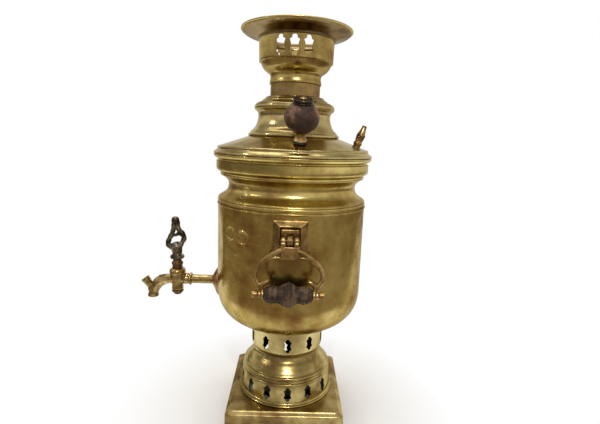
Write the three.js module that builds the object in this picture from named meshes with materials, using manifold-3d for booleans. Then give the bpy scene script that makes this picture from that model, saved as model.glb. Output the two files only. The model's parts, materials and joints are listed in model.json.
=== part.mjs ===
// A coal-fired samovar: spun brass body on a perforated foot, chimney with a crown for the teapot,
// lift-off lid with two wooden knobs and a steam vent, a plug tap, and two swinging handles.
// Millimetres, Z up. The origin is on the floor under the middle of the foot. The tap points to -X,
// and the handles hang at the front (-Y) and at the back (+Y).
import * as THREE from "three";
import { mergeVertices } from "three/addons/utils/BufferGeometryUtils.js";
import Module from "manifold-3d";

const wasm = await Module();
wasm.setup();

// Clearances and drawing accuracy
const seatGap = 0.3; // between two pieces that rest on, or are soldered to, each other
const runGap = 0.4; // round a piece that turns, slides or passes through
const overrun = 3; // how far a cutter passes the face that it cuts
const weldDistance = 0.0001;
const ringSides = 24;
const ballSides = 14;
const fittingSides = 10;
const bowlSteps = 7;
const armSteps = 9;
const armSides = 8;

// Foot and square plate
const sheetWall = 1.5;
const footHeight = 14;
const footRadius = 10.5;
const footInset = 15;
const plateHalfWidth = 70;
const plateSideHeight = 16;
const plateBevelWidth = 4.7;
const plateBevelHeight = 3.5;
const plateCornerCut = 1.8;
const plateWall = 2.5;
const plateHoleRadius = 36; // draught hole, smaller than the drum above it

// Perforated drum under the dome
const drumFootRadius = 58;
const drumTopRadius = 56;
const footRingOut = 2.2;
const footRingHeight = 5.4;
const drumWallHeight = 21.1;
const drumBeadOut = 1.2;
const drumBeadHeight = 3;
const domeStepWidth = 3; // the dome's foot is this much inside the drum's top
const domeHeight = 21.7;
const drumHoles = 14;
const drumHoleTurn = THREE.MathUtils.degToRad(3.3); // first hole, from the front
const drumHoleHeight = 16.5;
const drumHoleWidth = 8.4;

// Perforated neck
const neckFootRadius = 41.2;
const neckRadius = 45.3;
const neckFlareHeight = 10.4;
const neckWallHeight = 28;
const neckHoles = 10;
const neckHoleHeight = 17.4;
const neckHoleWidth = 9.2;
const neckHoleTurn = THREE.MathUtils.degToRad(2);
const neckHoleDrop = 12.3; // from the top of the neck to the tops of its holes

// Water body
const bodyRadius = 89;
const bowlHeight = 43;
const bowlFullness = 2.25; // 2 is an ellipse; more is squarer
const bodyWallHeight = 105;
const bodyBeadOut = 0.9;
const bodyBeadHeight = 4;

// Ring round the mouth of the body
const shoulderHeight = 20;
const coveDepth = 12.5;
const coveWallHeight = 3;
const coveFlareHeight = 12.5;
const coveTopDepth = 2;
const bandOut = 2;
const bandHeight = 14.5;
const rimOut = 5.3;
const rimHeight = 6.5;
const rimSeatWidth = 7.7;
const rimSeatThickness = 2.8;

// Lid
const lidEdgeHeight = 2;
const lidStepWidth = 5.2;
const lidStepHeight = 6.2;
const lidConeHeight = 17.5;
const lidSkirtDepth = 10;

// Collar on the lid, round the chimney
const collarLipHeight = 2.6;
const collarFlareHeight = 15.5;
const collarWaistRadius = 42.8;
const collarWaistHeight = 6;
const collarBeadOut = 4.6;
const collarBeadHeight = 14.5;
const collarLedgeRadius = 35.6;
const collarLedgeHeight = 7.5;

// Fire tube, which is the chimney too, and its grate
const fireRadius = 38.4;
const fireHeight = 62;
const fireTaperHeight = 70;
const fireDrop = 9; // how far the tube reaches down into the neck
const chimneyRadius = 29.2;
const chimneyRise = 13.5; // chimney seen above the collar
const crownSeatDepth = 1.4;
const crownSeatHeight = 9;
const grateLedge = 4;
const grateThickness = 4;
const grateSlots = 5;
const grateSlotWidth = 6;
const grateBarWidth = 5.5;

// Crown that the teapot stands on
const crownSleeveHeight = 9.6;
const cupRadius = 43.7;
const cupBowlHeight = 14.6;
const cupStep = 0.8;
const cupWallHeight = 24.2;
const cupHoleGroups = 3;
const cupHolesInGroup = 3;
const cupHoleHeight = 22;
const cupHoleWidth = 11;
const cupHoleRise = 1.1; // from the foot of the cup's wall to the holes
const cupHoleSpacing = THREE.MathUtils.degToRad(20.8);
const cupHoleStart = THREE.MathUtils.degToRad(-3); // middle hole of the front group, from the front
const dishRadius = 64.4;
const dishRise = 8.2;
const dishWall = 2;
const dishRollRadius = 1.6;
const dishLipDepth = 1.5;

// Lid fittings: knobs front and back, vent on the right. The lid stands turned by a small angle.
const lidTurn = THREE.MathUtils.degToRad(5.5);
const knobScrewRadius = 2;
const knobNutRadius = 4.4;
const knobNutHeight = 2.8;
const knobWasherRadius = 7.1;
const knobWasherHeight = 2;
const knobStemRadius = 7.2;
const knobStemHeight = 8.6;
const knobBallRadius = 18.1;
const knobBallHeight = 29.5;
const knobCapRadius = 10.3;
const knobCapHeight = 5;
const knobHeadRadius = 3.6;
const knobHeadHeight = 2;
const knobSlotWidth = 0.9;
const ventFootRadius = 5.4;
const ventFootHeight = 7.6;
const ventTenonRadius = 2.6;
const ventTenonHeight = 5.5;
const ventTailLength = 4;
const ventBoreRadius = 1.3;
const ventCapRadius = 5.5;
const ventCapHeight = 19;
const ventHoles = 4;
const ventHoleRadius = 1.1;

// Tap
const tapRise = 1.2; // tap axis above the top of the bowl
const tapReach = 52.4; // from the body's wall to the plug's axis
const pipeRadius = 5.6;
const waterwayRadius = 2.6;
const tapCollarRadius = 7.9;
const tapCollarLength = 7;
const barrelTopRadius = 10.3;
const barrelFootRadius = 6.8;
const barrelAbove = 14; // barrel above the tap's axis
const barrelBelow = 14;
const plugTopRadius = 6.4;
const plugFootRadius = 4.2;
const plugWasherRadius = 6.3;
const plugWasherHeight = 3.2;
const plugTailRadius = 3;
const plugButtonRadius = 4.6;
const plugButtonHeight = 2.8;
const keyStemRadius = 6.85;
const keyStemHeight = 11;
const keyDiscRadius = 8.75;
const keyDiscHeight = 7.2;
const keyHandleWidth = 27.4;
const keyHandleHeight = 47.5;
const keyHandleThickness = 6.4;
const spoutReach = 31.4; // from the plug's axis to the middle of the outlet
const spoutDrop = 25.8; // from the tap's axis to the lowest edge
const spoutRadius = 5.6;
const outletRadius = 6.6;
const outletHeight = 6;
const beakLength = 17;
const beakWidth = 10;
const beakWall = 1.6;
const escutcheonHeight = 36;
const escutcheonWidth = 24;
const escutcheonDepth = 7.6;

// Handles
const handleHeight = 79.5; // pin above the top of the bowl
const hingePlateWidth = 36.6;
const hingePlateHeight = 33;
const hingePlateAbove = 19.4; // plate above the pin
const hingePlateThickness = 5;
const hingeFrameDepth = 3.5;
const hingeFrameWidth = 8.4;
const hingeBlockDepth = 1.4;
const hingeBlockHeight = 6.4;
const lugWidth = 7.2;
const knuckleRadius = 4.9;
const knuckleWidth = 5.5;
const pinRadius = 2;
const pinProud = 0.6;
const bailThickness = 5.6;
const bailBlockHeight = 15;
const bailBlockWidth = 20;
const bailOverhang = 11.6; // bail seen beyond each end of the grip
const bailDrop = 56; // pin to grip
const bailArmWidth = 4.6;
const bailEyeRadius = 5.2;
const bailEyeWidth = 2.8;
const bailLeafLength = 10;
const bailLeafWidth = 4.2;
const gripLength = 49.2;
const gripRadius = 13.2;
const gripRodRadius = 1.8;
const gripNutRadius = 4;
const gripNutLength = 9.4;
const gripNutSocketShare = 0.35;
const gripClearance = 0.8; // between the hanging grip and the body

// Outlines, as shares of the sizes that they follow: first the radius (or width), then the height
const beadShares = [[0, 0], [0.96, 0.24], [0.96, 0.76], [0, 1]];
const footShares = [[0.62, 0], [0.95, 0.16], [1, 0.42], [0.78, 0.72], [0.92, 1]];
const domeShares = [[0, 0], [0.2, 0.26], [0.42, 0.5], [0.82, 0.72], [1, 1]];
const neckShares = [[0, 0], [0.42, 0.16], [0.82, 0.46], [1, 1]];
const shoulderShares = [[0, 0], [0.2, 0.28], [0.47, 0.5], [0.86, 0.7], [1, 1]];
const coveShares = [[0, 0], [0.24, 0.42], [0.66, 0.7], [1, 1]];
const bandShares = [[0, 0], [0.75, 0.16], [1, 0.4], [1, 1]];
const rimShares = [[0, 0], [0.72, 0.5], [1, 0.82], [0.94, 1]];
const flareShares = [[0, 0], [0.3, 0.2], [0.6, 0.38], [0.85, 0.66], [1, 1]];
const collarBeadShares = [[0, 0], [0.58, 0.32], [0.96, 0.48], [0.98, 0.66], [0.25, 1]];
const ledgeShares = [[0, 0], [0.9, 0.3], [1, 0.62]];
const cupBowlShares = [[0, 0], [0.42, 0.28], [0.68, 0.58], [0.93, 1]];
const holeShares = [[0, 1], [0.5, 0.86], [0.52, 0.66], [1, 0.52], [0.76, 0.2]];
const stemShares = [[1, 0], [0.98, 0.14], [0.6, 0.42], [0.56, 0.66], [0.76, 1]];
const ballShares = [
  [0.28, 0], [0.55, 0.1], [0.86, 0.28], [0.99, 0.5], [0.97, 0.68], [0.8, 0.88], [0.57, 1],
];
const capShares = [[1, 0], [1, 0.3], [0.93, 0.4], [0.93, 0.75], [1, 0.8], [0.96, 1]];
const ventFootShares = [[0.82, 0], [0.97, 0.4], [1, 0.7], [0.86, 0.78], [0.86, 1]];
const ventCapShares = [[0.88, 0], [1, 0.28], [0.98, 0.36], [0.66, 0.66], [0.51, 0.84], [0.51, 1]];
const barrelShares = [[0, 0], [0.08, 0.12], [0.66, 0.72], [0.7, 0.76], [1, 0.79], [1, 0.95], [0.9, 1]];
const keyStemShares = [[0.9, 0], [0.9, 0.24], [1, 0.36], [1, 0.54], [0.82, 0.68], [0.8, 1]];
const keyDiscShares = [[0.9, 0], [1, 0.36], [0.95, 0.72], [0.76, 1]];
const keyHandleShares = [
  [0.48, 0], [0.5, 0.09], [0.62, 0.15], [0.88, 0.21], [1, 0.27], [0.9, 0.34], [0.97, 0.45],
  [0.78, 0.51], [0.6, 0.57], [0.56, 0.65], [0.46, 0.73], [0.33, 0.8], [0.32, 0.85], [0.39, 0.9],
  [0.34, 0.96], [0.14, 1],
];
const keyEyeShares = [
  [1, 0], [0.74, 0.7], [0, 1], [-0.74, 0.7], [-1, 0], [-0.74, -0.7], [0, -1], [0.74, -0.7],
];
const keyEyeWidthShare = 0.45;
const keyEyeHeightShare = 0.21;
const keyEyeRiseShare = 0.4;
const keySlotShares = [[-0.16, 0.54], [0.16, 0.54], [0.06, 0.67], [-0.06, 0.67]];
const outletShares = [[0.9, 0], [1, 0.3], [1, 0.7], [0.9, 1]];
const spoutPathShares = [[0.1, 0], [0.45, 0], [0.78, 0.14], [0.95, 0.42], [1, 1]];
const leafShares = [[0, 0.5], [0.5, 0.42], [1, 0], [0.5, -0.42], [0, -0.5]];
const armPathShares = [
  [0.22, 0.17], [0.46, 0.24], [0.72, 0.36], [0.88, 0.5], [0.94, 0.64], [0.88, 0.78],
];
const gripShares = [
  [0.42, 0], [0.68, 0.1], [0.68, 0.22], [0.86, 0.34], [1, 0.5], [0.86, 0.64], [0.68, 0.74],
  [0.76, 0.84], [0.48, 1],
];
const gripNutShares = [
  [0.86, 0], [1, 0.12], [0.95, 0.32], [0.62, 0.44], [0.84, 0.62], [0.84, 0.88], [0.5, 1],
];
const drumHoleMiddleShare = 0.5;
// Where things stand on the lid, from the chimney's wall (0) to the rim (1)
const lidHolePlaceShare = 0.169;
const collarFootPlaceShare = 0.381;
const knobPlaceShare = 0.627;
const ventPlaceShare = 0.745;
const waistKnuckleShare = 0.8;
const escutcheonShares = [[0, 1], [0.55, 0.62], [1, 0.3]];
const escutcheonRimShare = 1.25; // of the leaf's half height, where its dome leaves the wall
const escutcheonNeckShare = 1.5; // of the pipe's radius
const lidStepShare = 0.4; // of the edge's width, where the step stands
const lidStepRise = 0.28; // of the edge's height

// Heights and radii worked out from the sizes above, from the floor up
const domeFootRadius = drumTopRadius - domeStepWidth;
const plateTop = footHeight + plateSideHeight + plateBevelHeight;
const drumBase = plateTop + seatGap;
const drumWallBase = drumBase + footRingHeight;
const drumWallTop = drumWallBase + drumWallHeight;
const domeBase = drumWallTop + drumBeadHeight * 2;
const domeTop = domeBase + domeHeight;
const domeTopRadius = neckFootRadius - sheetWall / 2;
const neckBase = domeTop + seatGap;
const neckTop = neckBase + neckFlareHeight + neckWallHeight;
const bowlBase = neckTop + seatGap;
const bowlTop = bowlBase + bowlHeight;
const bodyTop = bowlTop + bodyWallHeight;
const rimBase = bodyTop + seatGap;
const shoulderTop = rimBase + shoulderHeight;
const coveRadius = bodyRadius - coveDepth;
const coveTop = shoulderTop + coveWallHeight + coveFlareHeight;
const bandTop = coveTop + bandHeight;
const rimTop = bandTop + rimHeight;
const rimRadius = bodyRadius + rimOut;
const rimMouthRadius = rimRadius - rimSeatWidth;
const lidBase = rimTop + seatGap;
const lidConeRadius = rimRadius - lidStepWidth;
const lidConeBase = lidBase + lidEdgeHeight + lidStepHeight;
const onLid = (share) => chimneyRadius + (rimRadius - chimneyRadius) * share;
const lidHoleRadius = onLid(lidHolePlaceShare);
const collarFootRadius = onLid(collarFootPlaceShare);
const knobRadius = onLid(knobPlaceShare);
const ventRadius = onLid(ventPlaceShare);
const lidSlope = lidConeHeight / (lidConeRadius - lidHoleRadius);
const lidSurface = (radius) => lidConeBase + (lidConeRadius - radius) * lidSlope;
const lidTilt = Math.atan(lidSlope);
const collarBase = lidSurface(collarFootRadius) + seatGap;
const collarWaistTop = collarBase + collarLipHeight + collarFlareHeight + collarWaistHeight;
const collarTop = collarWaistTop + collarBeadHeight + collarLedgeHeight;
const fireBase = bowlBase - fireDrop;
const crownBase = collarTop + chimneyRise + seatGap;
const crownSleeveRadius = chimneyRadius + sheetWall / 2;
const cupWallBase = crownBase + crownSleeveHeight + cupBowlHeight;
const cupTop = cupWallBase + cupWallHeight;
const dishBase = cupTop + seatGap;
const tapHeight = bowlTop + tapRise;
const plugX = -(bodyRadius + tapReach);
const barrelTop = tapHeight + barrelAbove;
const barrelFoot = tapHeight - barrelBelow;
const keyBase = barrelTop + seatGap;
const pinHeight = bowlTop + handleHeight;
const pinReach = bodyRadius + seatGap + hingePlateThickness + knuckleRadius + runGap;
const gripReach = bodyRadius + gripRadius + gripClearance;
const bailTilt = Math.asin((gripReach - pinReach) / bailDrop);

// Finishes
const finish = (color, roughness, metalness) =>
  new THREE.MeshStandardMaterial({ color, roughness, metalness });
const spunBrass = () => finish("#917b3c", 0.34, 1);
const stainedBrass = () => finish("#83683a", 0.42, 1);
const castBronze = () => finish("#a2703f", 0.36, 1);
const castBrass = () => finish("#8f7a45", 0.4, 1);
const darkMetal = () => finish("#4b4438", 0.5, 1);
const castIron = () => finish("#33302d", 0.75, 1);
const turnedWood = () => finish("#4f3a32", 0.55, 0);
const fibre = () => finish("#26282b", 0.8, 0);

// Helpers

// A closed solid from any closed geometry. Sweeps may come out inside out, and are turned round.
function solid(geometry) {
  const bare = geometry.index ? geometry.toNonIndexed() : geometry.clone();
  bare.deleteAttribute("normal");
  bare.deleteAttribute("uv");
  const merged = mergeVertices(bare, weldDistance);
  const corners = [];
  for (let i = 0; i < merged.index.count; i += 3) {
    const [a, b, c] = [0, 1, 2].map((k) => merged.index.getX(i + k));
    if (a !== b && b !== c && c !== a) corners.push([a, b, c]);
  }
  const build = (triangles) =>
    new wasm.Manifold(
      new wasm.Mesh({
        numProp: 3,
        vertProperties: new Float32Array(merged.attributes.position.array),
        triVerts: new Uint32Array(triangles.flat()),
      }),
    );
  const made = build(corners);
  return made.volume() > 0 ? made : build(corners.map(([a, b, c]) => [a, c, b]));
}

// Adds a finished piece, as a named mesh, to a group.
function piece(parent, name, form, material) {
  const mesh = form.getMesh();
  const geometry = new THREE.BufferGeometry();
  geometry.setAttribute("position", new THREE.BufferAttribute(mesh.vertProperties, mesh.numProp));
  geometry.setIndex(new THREE.BufferAttribute(mesh.triVerts, 1));
  geometry.computeVertexNormals();
  const made = new THREE.Mesh(geometry, material);
  made.name = name;
  parent.add(made);
  return made;
}

const union = (first, ...rest) => rest.reduce((sum, next) => sum.add(next), first);
const place = (x, y, z) => new THREE.Matrix4().makeTranslation(x, y, z);
const between = (from, to, share) => from + (to - from) * share;

// Points from one corner of an outline to another: shares run from the first corner to the second.
const curve = (fromRadius, fromHeight, toRadius, toHeight, shares) =>
  shares.map(([r, h]) => [between(fromRadius, toRadius, r), between(fromHeight, toHeight, h)]);

// A half-round bead that stands proud of a wall between two heights.
const bead = (radius, out, low, high) => curve(radius, low, radius + out, high, beadShares);

// Scales an outline given in shares of one radius and one height.
const scaled = (radius, height, shares, base) => shares.map(([r, h]) => [radius * r, base + height * h]);

// Geometry turned about Z from a closed outline of radius and height points.
function turnedGeometry(outline, sides) {
  const points = outline.map(([r, h]) => new THREE.Vector2(r, h));
  return new THREE.LatheGeometry(points, sides).rotateX(Math.PI / 2);
}

// A turned solid that reaches its axis.
function turned(outline, sides) {
  const low = outline[0][1];
  const high = outline[outline.length - 1][1];
  return solid(turnedGeometry([[0, low], ...outline, [0, high]], sides));
}

// A turned ring: the outer line and the inner line both run upwards.
function turnedRing(outer, inner, sides) {
  const loop = [...outer, ...[...inner].reverse(), outer[0]];
  return solid(turnedGeometry(loop, sides));
}

const rod = (radius, low, high, sides) => turned([[radius, low], [radius, high]], sides);

// A plate from an outline in X and Z, with its thickness along Y.
function flatPlate(outline, thickness) {
  const shape = new THREE.Shape(outline.map(([x, z]) => new THREE.Vector2(x, z)));
  const geometry = new THREE.ExtrudeGeometry(shape, { depth: thickness, bevelEnabled: false });
  return geometry.rotateX(Math.PI / 2).translate(0, thickness / 2, 0);
}

function block(width, depth, height, x, y, z) {
  return solid(new THREE.BoxGeometry(width, depth, height).translate(x, y, z));
}

// A tube of round section along a smooth path.
function sweep(points, radius, steps, sides) {
  const ring = Array.from({ length: sides }, (_, i) => {
    const angle = (Math.PI * 2 * (i + 1 / 2)) / sides;
    return new THREE.Vector2(Math.cos(angle) * radius, Math.sin(angle) * radius);
  });
  const path = new THREE.CatmullRomCurve3(points.map(([x, y, z]) => new THREE.Vector3(x, y, z)));
  const shape = new THREE.Shape(ring);
  return new THREE.ExtrudeGeometry(shape, { steps, extrudePath: path, bevelEnabled: false });
}

// A frame on a spoke from the chimney's axis: X points outwards, then Z is tilted outwards.
function spoke(angle, radius, height, tilt) {
  return new THREE.Matrix4()
    .makeRotationZ(angle)
    .multiply(place(radius, 0, height))
    .multiply(new THREE.Matrix4().makeRotationY(tilt));
}

// A group in such a frame.
function framed(parent, matrix) {
  const group = new THREE.Group();
  group.applyMatrix4(matrix);
  parent.add(group);
  return group;
}

// A punch for the pierced walls: a lobed slot that cuts one wall, in the direction of a spoke.
function punch(width, height, radius, middle, angle) {
  const quarter = holeShares.map(([x, z]) => [(x * width) / 2, (z * height) / 2]);
  const right = [...quarter, ...quarter.map(([x, z]) => [x, -z]).reverse()];
  const left = right.slice(1, -1).map(([x, z]) => [-x, z]).reverse();
  return solid(
    flatPlate([...right, ...left].reverse(), overrun * 4)
      .translate(0, -radius, middle)
      .rotateZ(angle),
  );
}

// Punches a row of holes into a wall.
function pierced(wall, angles, width, height, radius, middle) {
  return angles.reduce((left, angle) => left.subtract(punch(width, height, radius, middle, angle)), wall);
}

const evenAngles = (count, first = 0) =>
  Array.from({ length: count }, (_, i) => first + (i * Math.PI * 2) / count);

const samovar = new THREE.Group();

// Foot, plate and perforated base

function addFeet() {
  const place4 = plateHalfWidth - footInset;
  const corners = { front_left: [-1, -1], front_right: [1, -1], back_left: [-1, 1], back_right: [1, 1] };
  for (const [corner, [x, y]] of Object.entries(corners)) {
    const foot = turned(scaled(footRadius, footHeight - seatGap, footShares, 0), fittingSides);
    piece(samovar, `foot_${corner}`, foot, stainedBrass()).position.set(x * place4, y * place4, 0);
  }
}

// A square tray turned over: a four-sided "lathe" gives the bevelled outline.
function addPlate() {
  const diagonal = (half) => half * Math.SQRT2;
  const sideTop = footHeight + plateSideHeight;
  const innerHalf = plateHalfWidth - plateBevelWidth;
  const outer = [
    [diagonal(plateHalfWidth), footHeight],
    [diagonal(plateHalfWidth), sideTop],
    [diagonal(innerHalf), plateTop],
  ];
  const inner = [
    [diagonal(plateHalfWidth - plateWall), footHeight],
    [diagonal(plateHalfWidth - plateWall), sideTop - plateWall],
    [diagonal(innerHalf - plateWall), plateTop - plateWall],
  ];
  const section = [[0, plateTop - plateWall], ...inner.reverse(), ...outer, [0, plateTop]];
  const tray = solid(turnedGeometry(section, 4).rotateZ(Math.PI / 4));
  const web = footRadius * 2;
  const webPlace = plateHalfWidth - plateWall / 2 - web / 2;
  const webs = [[-1, -1], [1, -1], [-1, 1], [1, 1]].map(([x, y]) =>
    block(web, web, plateWall, x * webPlace, y * webPlace, footHeight + plateWall / 2));
  const rounding = rod(diagonal(plateHalfWidth) - plateCornerCut, 0, plateTop * 2, ringSides * 2);
  const hole = rod(plateHoleRadius, footHeight - overrun, plateTop + overrun, ringSides);
  const plate = union(tray, ...webs).intersect(rounding).subtract(hole);
  piece(samovar, "base_plate", plate, stainedBrass());
}

function addDrum() {
  const middleBead = drumWallTop + drumBeadHeight;
  const outer = [
    ...bead(drumFootRadius, footRingOut, drumBase, drumWallBase),
    ...bead(drumTopRadius - drumBeadOut, drumBeadOut, drumWallTop, middleBead),
    ...bead(domeFootRadius, drumBeadOut, middleBead, domeBase),
    ...curve(domeFootRadius, domeBase, domeTopRadius, domeTop, domeShares).slice(1),
  ];
  const inner = [
    [drumFootRadius - sheetWall, drumBase],
    [drumTopRadius - sheetWall * 2, drumWallTop],
    ...curve(domeFootRadius - sheetWall, domeBase, domeTopRadius - sheetWall, domeTop, domeShares).slice(1),
  ];
  const wall = turnedRing(outer, inner, ringSides);
  const middle = between(drumWallBase, drumWallTop, drumHoleMiddleShare);
  const wallRadius = between(drumFootRadius, drumTopRadius, drumHoleMiddleShare);
  const drum = pierced(wall, evenAngles(drumHoles, drumHoleTurn), drumHoleWidth, drumHoleHeight, wallRadius,
    middle);
  piece(samovar, "base_drum", drum, stainedBrass());
}

function addNeck() {
  const flareTop = neckBase + neckFlareHeight;
  const outer = [
    ...curve(neckFootRadius, neckBase, neckRadius, flareTop, neckShares),
    [neckRadius, neckTop],
  ];
  const inner = outer.map(([r, h]) => [r - sheetWall, h]);
  const wall = turnedRing(outer, inner, ringSides);
  const middle = neckTop - neckHoleDrop - neckHoleHeight / 2;
  const neck = pierced(wall, evenAngles(neckHoles, neckHoleTurn), neckHoleWidth, neckHoleHeight, neckRadius,
    middle);
  piece(samovar, "neck_ring", neck, spunBrass());
}

// Body, mouth ring, fire tube and grate

// The bowl is a quarter of a superellipse, between the neck's radius and the body's.
function bowlLine(inset) {
  const foot = neckRadius - inset;
  return Array.from({ length: bowlSteps + 1 }, (_, i) => {
    const angle = (Math.PI / 2) * (1 - i / bowlSteps);
    const out = Math.cos(angle) ** (2 / bowlFullness);
    const down = Math.sin(angle) ** (2 / bowlFullness);
    return [between(foot, bodyRadius - inset, out), bowlTop - (bowlHeight - inset) * down];
  });
}

function addBody() {
  const beadBase = bodyTop - bodyBeadHeight;
  const holeRadius = fireRadius + runGap;
  const outer = [
    [holeRadius, bowlBase],
    ...bowlLine(0),
    ...bead(bodyRadius, bodyBeadOut, beadBase, bodyTop),
  ];
  const inner = [
    [holeRadius, bowlBase + sheetWall],
    ...bowlLine(sheetWall).filter((_, i) => i % 2 === 0),
    [bodyRadius - sheetWall, bowlTop],
    [bodyRadius - sheetWall, bodyTop],
  ];
  const pipeHole = pipeRadius + runGap;
  const holeLine = [[0, 0], [pipeHole, 0], [pipeHole, bodyRadius * 2], [0, bodyRadius * 2]];
  const hole = solid(turnedGeometry(holeLine, fittingSides).rotateY(-Math.PI / 2)
    .translate(0, 0, tapHeight));
  piece(samovar, "water_body", turnedRing(outer, inner, ringSides).subtract(hole), spunBrass());
}

function addRimRing() {
  const coveTopRadius = bodyRadius - coveTopDepth;
  const coveBase = shoulderTop + coveWallHeight;
  const bandRadius = bodyRadius + bandOut;
  const outer = [
    ...curve(bodyRadius, rimBase, coveRadius, shoulderTop, shoulderShares),
    ...curve(coveRadius, coveBase, coveTopRadius, coveTop, coveShares),
    ...curve(coveTopRadius, coveTop, bandRadius, bandTop, bandShares),
    ...curve(bandRadius, bandTop, rimRadius, rimTop, rimShares).slice(1),
  ];
  const innerBandBase = coveTop + sheetWall * 2;
  const inner = [
    [bodyRadius - sheetWall, rimBase],
    [bodyRadius - sheetWall * 2, rimBase + sheetWall * 2],
    [coveRadius - sheetWall, shoulderTop - sheetWall * 2],
    [coveRadius - sheetWall, coveBase + sheetWall],
    [coveTopRadius - sheetWall, coveTop],
    [bandRadius - sheetWall, innerBandBase],
    [bandRadius - sheetWall, rimTop - rimSeatThickness * 2],
    [rimMouthRadius, rimTop - rimSeatThickness],
    [rimMouthRadius, rimTop],
  ];
  piece(samovar, "rim_ring", turnedRing(outer, inner, ringSides), spunBrass());
}

function addFireTube() {
  const wideTop = fireBase + fireHeight;
  const taperTop = wideTop + fireTaperHeight;
  const ledgeRadius = fireRadius - sheetWall - grateLedge;
  const seatRadius = chimneyRadius - crownSeatDepth;
  const seatBase = crownBase - seatGap;
  const seatTop = seatBase + crownSeatHeight;
  const outer = [
    [fireRadius, fireBase],
    [fireRadius, wideTop],
    [chimneyRadius, taperTop],
    [chimneyRadius, seatBase],
    [seatRadius, seatBase],
    [seatRadius, seatTop],
  ];
  const inner = [
    [ledgeRadius, fireBase],
    [ledgeRadius, fireBase + sheetWall],
    [fireRadius - sheetWall, fireBase + sheetWall],
    [fireRadius - sheetWall, wideTop],
    [chimneyRadius - sheetWall, taperTop],
    [chimneyRadius - sheetWall, seatBase - sheetWall],
    [seatRadius - sheetWall, seatBase],
    [seatRadius - sheetWall, seatTop],
  ];
  piece(samovar, "fire_tube", turnedRing(outer, inner, ringSides), stainedBrass());
}

function addGrate() {
  const low = fireBase + sheetWall + seatGap;
  const radius = fireRadius - sheetWall - runGap;
  const middle = low + grateThickness / 2;
  const pitch = grateSlotWidth + grateBarWidth;
  let grate = rod(radius, low, low + grateThickness, ringSides);
  for (let i = 0; i < grateSlots; i += 1) {
    const x = (i - (grateSlots - 1) / 2) * pitch;
    const reach = Math.sqrt(radius ** 2 - (Math.abs(x) + grateSlotWidth / 2) ** 2) - grateBarWidth / 2;
    grate = grate.subtract(block(grateSlotWidth, reach * 2, grateThickness + overrun, x, 0, middle));
  }
  piece(samovar, "fire_grate", grate, castIron());
}

// Lid with its collar, knobs and vent

const knobAngles = { front: lidTurn - Math.PI / 2, back: lidTurn + Math.PI / 2 };
const knobFrame = (angle) => spoke(angle, knobRadius, lidSurface(knobRadius), lidTilt);
const ventFrame = spoke(lidTurn, ventRadius, lidSurface(ventRadius), lidTilt);

function addLid() {
  const stepBase = lidBase + lidEdgeHeight;
  const skirtRadius = rimMouthRadius - runGap;
  const skirtInner = skirtRadius - sheetWall;
  const skirtFoot = lidBase - lidSkirtDepth;
  const outer = [
    [rimRadius, lidBase],
    [rimRadius, stepBase],
    [between(rimRadius, lidConeRadius, lidStepShare), between(stepBase, lidConeBase, lidStepRise)],
    [lidConeRadius + sheetWall / 2, between(stepBase, lidConeBase, lidStepShare)],
    [lidConeRadius, lidConeBase],
    [lidHoleRadius, lidSurface(lidHoleRadius)],
  ];
  const inner = [
    [skirtRadius, lidBase],
    [skirtRadius, skirtFoot],
    [skirtInner, skirtFoot],
    [skirtInner, lidSurface(skirtInner) - sheetWall],
    [lidHoleRadius, lidSurface(lidHoleRadius) - sheetWall],
  ];
  const reach = overrun * 2;
  const hole = (frame, radius) => {
    const line = [[0, -reach], [radius, -reach], [radius, reach], [0, reach]];
    return solid(turnedGeometry(line, fittingSides).applyMatrix4(frame));
  };
  const cutters = [
    ...Object.values(knobAngles).map((angle) => hole(knobFrame(angle), knobScrewRadius + runGap)),
    hole(ventFrame, ventTenonRadius + runGap),
  ];
  const sheet = turnedRing(outer, inner, ringSides);
  piece(samovar, "lid", cutters.reduce((left, cutter) => left.subtract(cutter), sheet), spunBrass());
}

function addCollar() {
  const lipTop = collarBase + collarLipHeight;
  const flareTop = lipTop + collarFlareHeight;
  const waistTop = flareTop + collarWaistHeight;
  const beadTop = waistTop + collarBeadHeight;
  const beadRadius = collarWaistRadius + collarBeadOut;
  const holeRadius = chimneyRadius + runGap;
  const innerFoot = collarFootRadius - sheetWall;
  const innerWaist = collarWaistRadius - sheetWall;
  const [, shoulderHigh] = curve(0, waistTop, 1, beadTop, collarBeadShares).map(([, h]) => h);
  const outer = [
    [collarFootRadius, collarBase],
    ...curve(collarFootRadius, lipTop, collarWaistRadius, flareTop, flareShares),
    ...curve(collarWaistRadius, waistTop, beadRadius, beadTop, collarBeadShares),
    ...curve(collarWaistRadius, beadTop, collarLedgeRadius, collarTop, ledgeShares).slice(1),
    [holeRadius + sheetWall, collarTop - sheetWall / 2],
    [holeRadius, collarTop],
  ];
  const inner = [
    [innerFoot, lidSurface(innerFoot) + seatGap],
    ...curve(innerFoot, lipTop, innerWaist, flareTop, flareShares).filter((_, i) => i % 2 === 0),
    [innerWaist, waistTop],
    [between(innerWaist, beadRadius, waistKnuckleShare / 2), between(shoulderHigh, beadTop, 1 / 4)],
    [between(innerWaist, collarLedgeRadius, 1 / 4), beadTop - sheetWall],
    [collarLedgeRadius - sheetWall, beadTop],
    [collarLedgeRadius - sheetWall, collarTop - sheetWall * 3],
    [holeRadius, collarTop - sheetWall * 2],
  ];
  piece(samovar, "lid_collar", turnedRing(outer, inner, ringSides), spunBrass());
}

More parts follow.
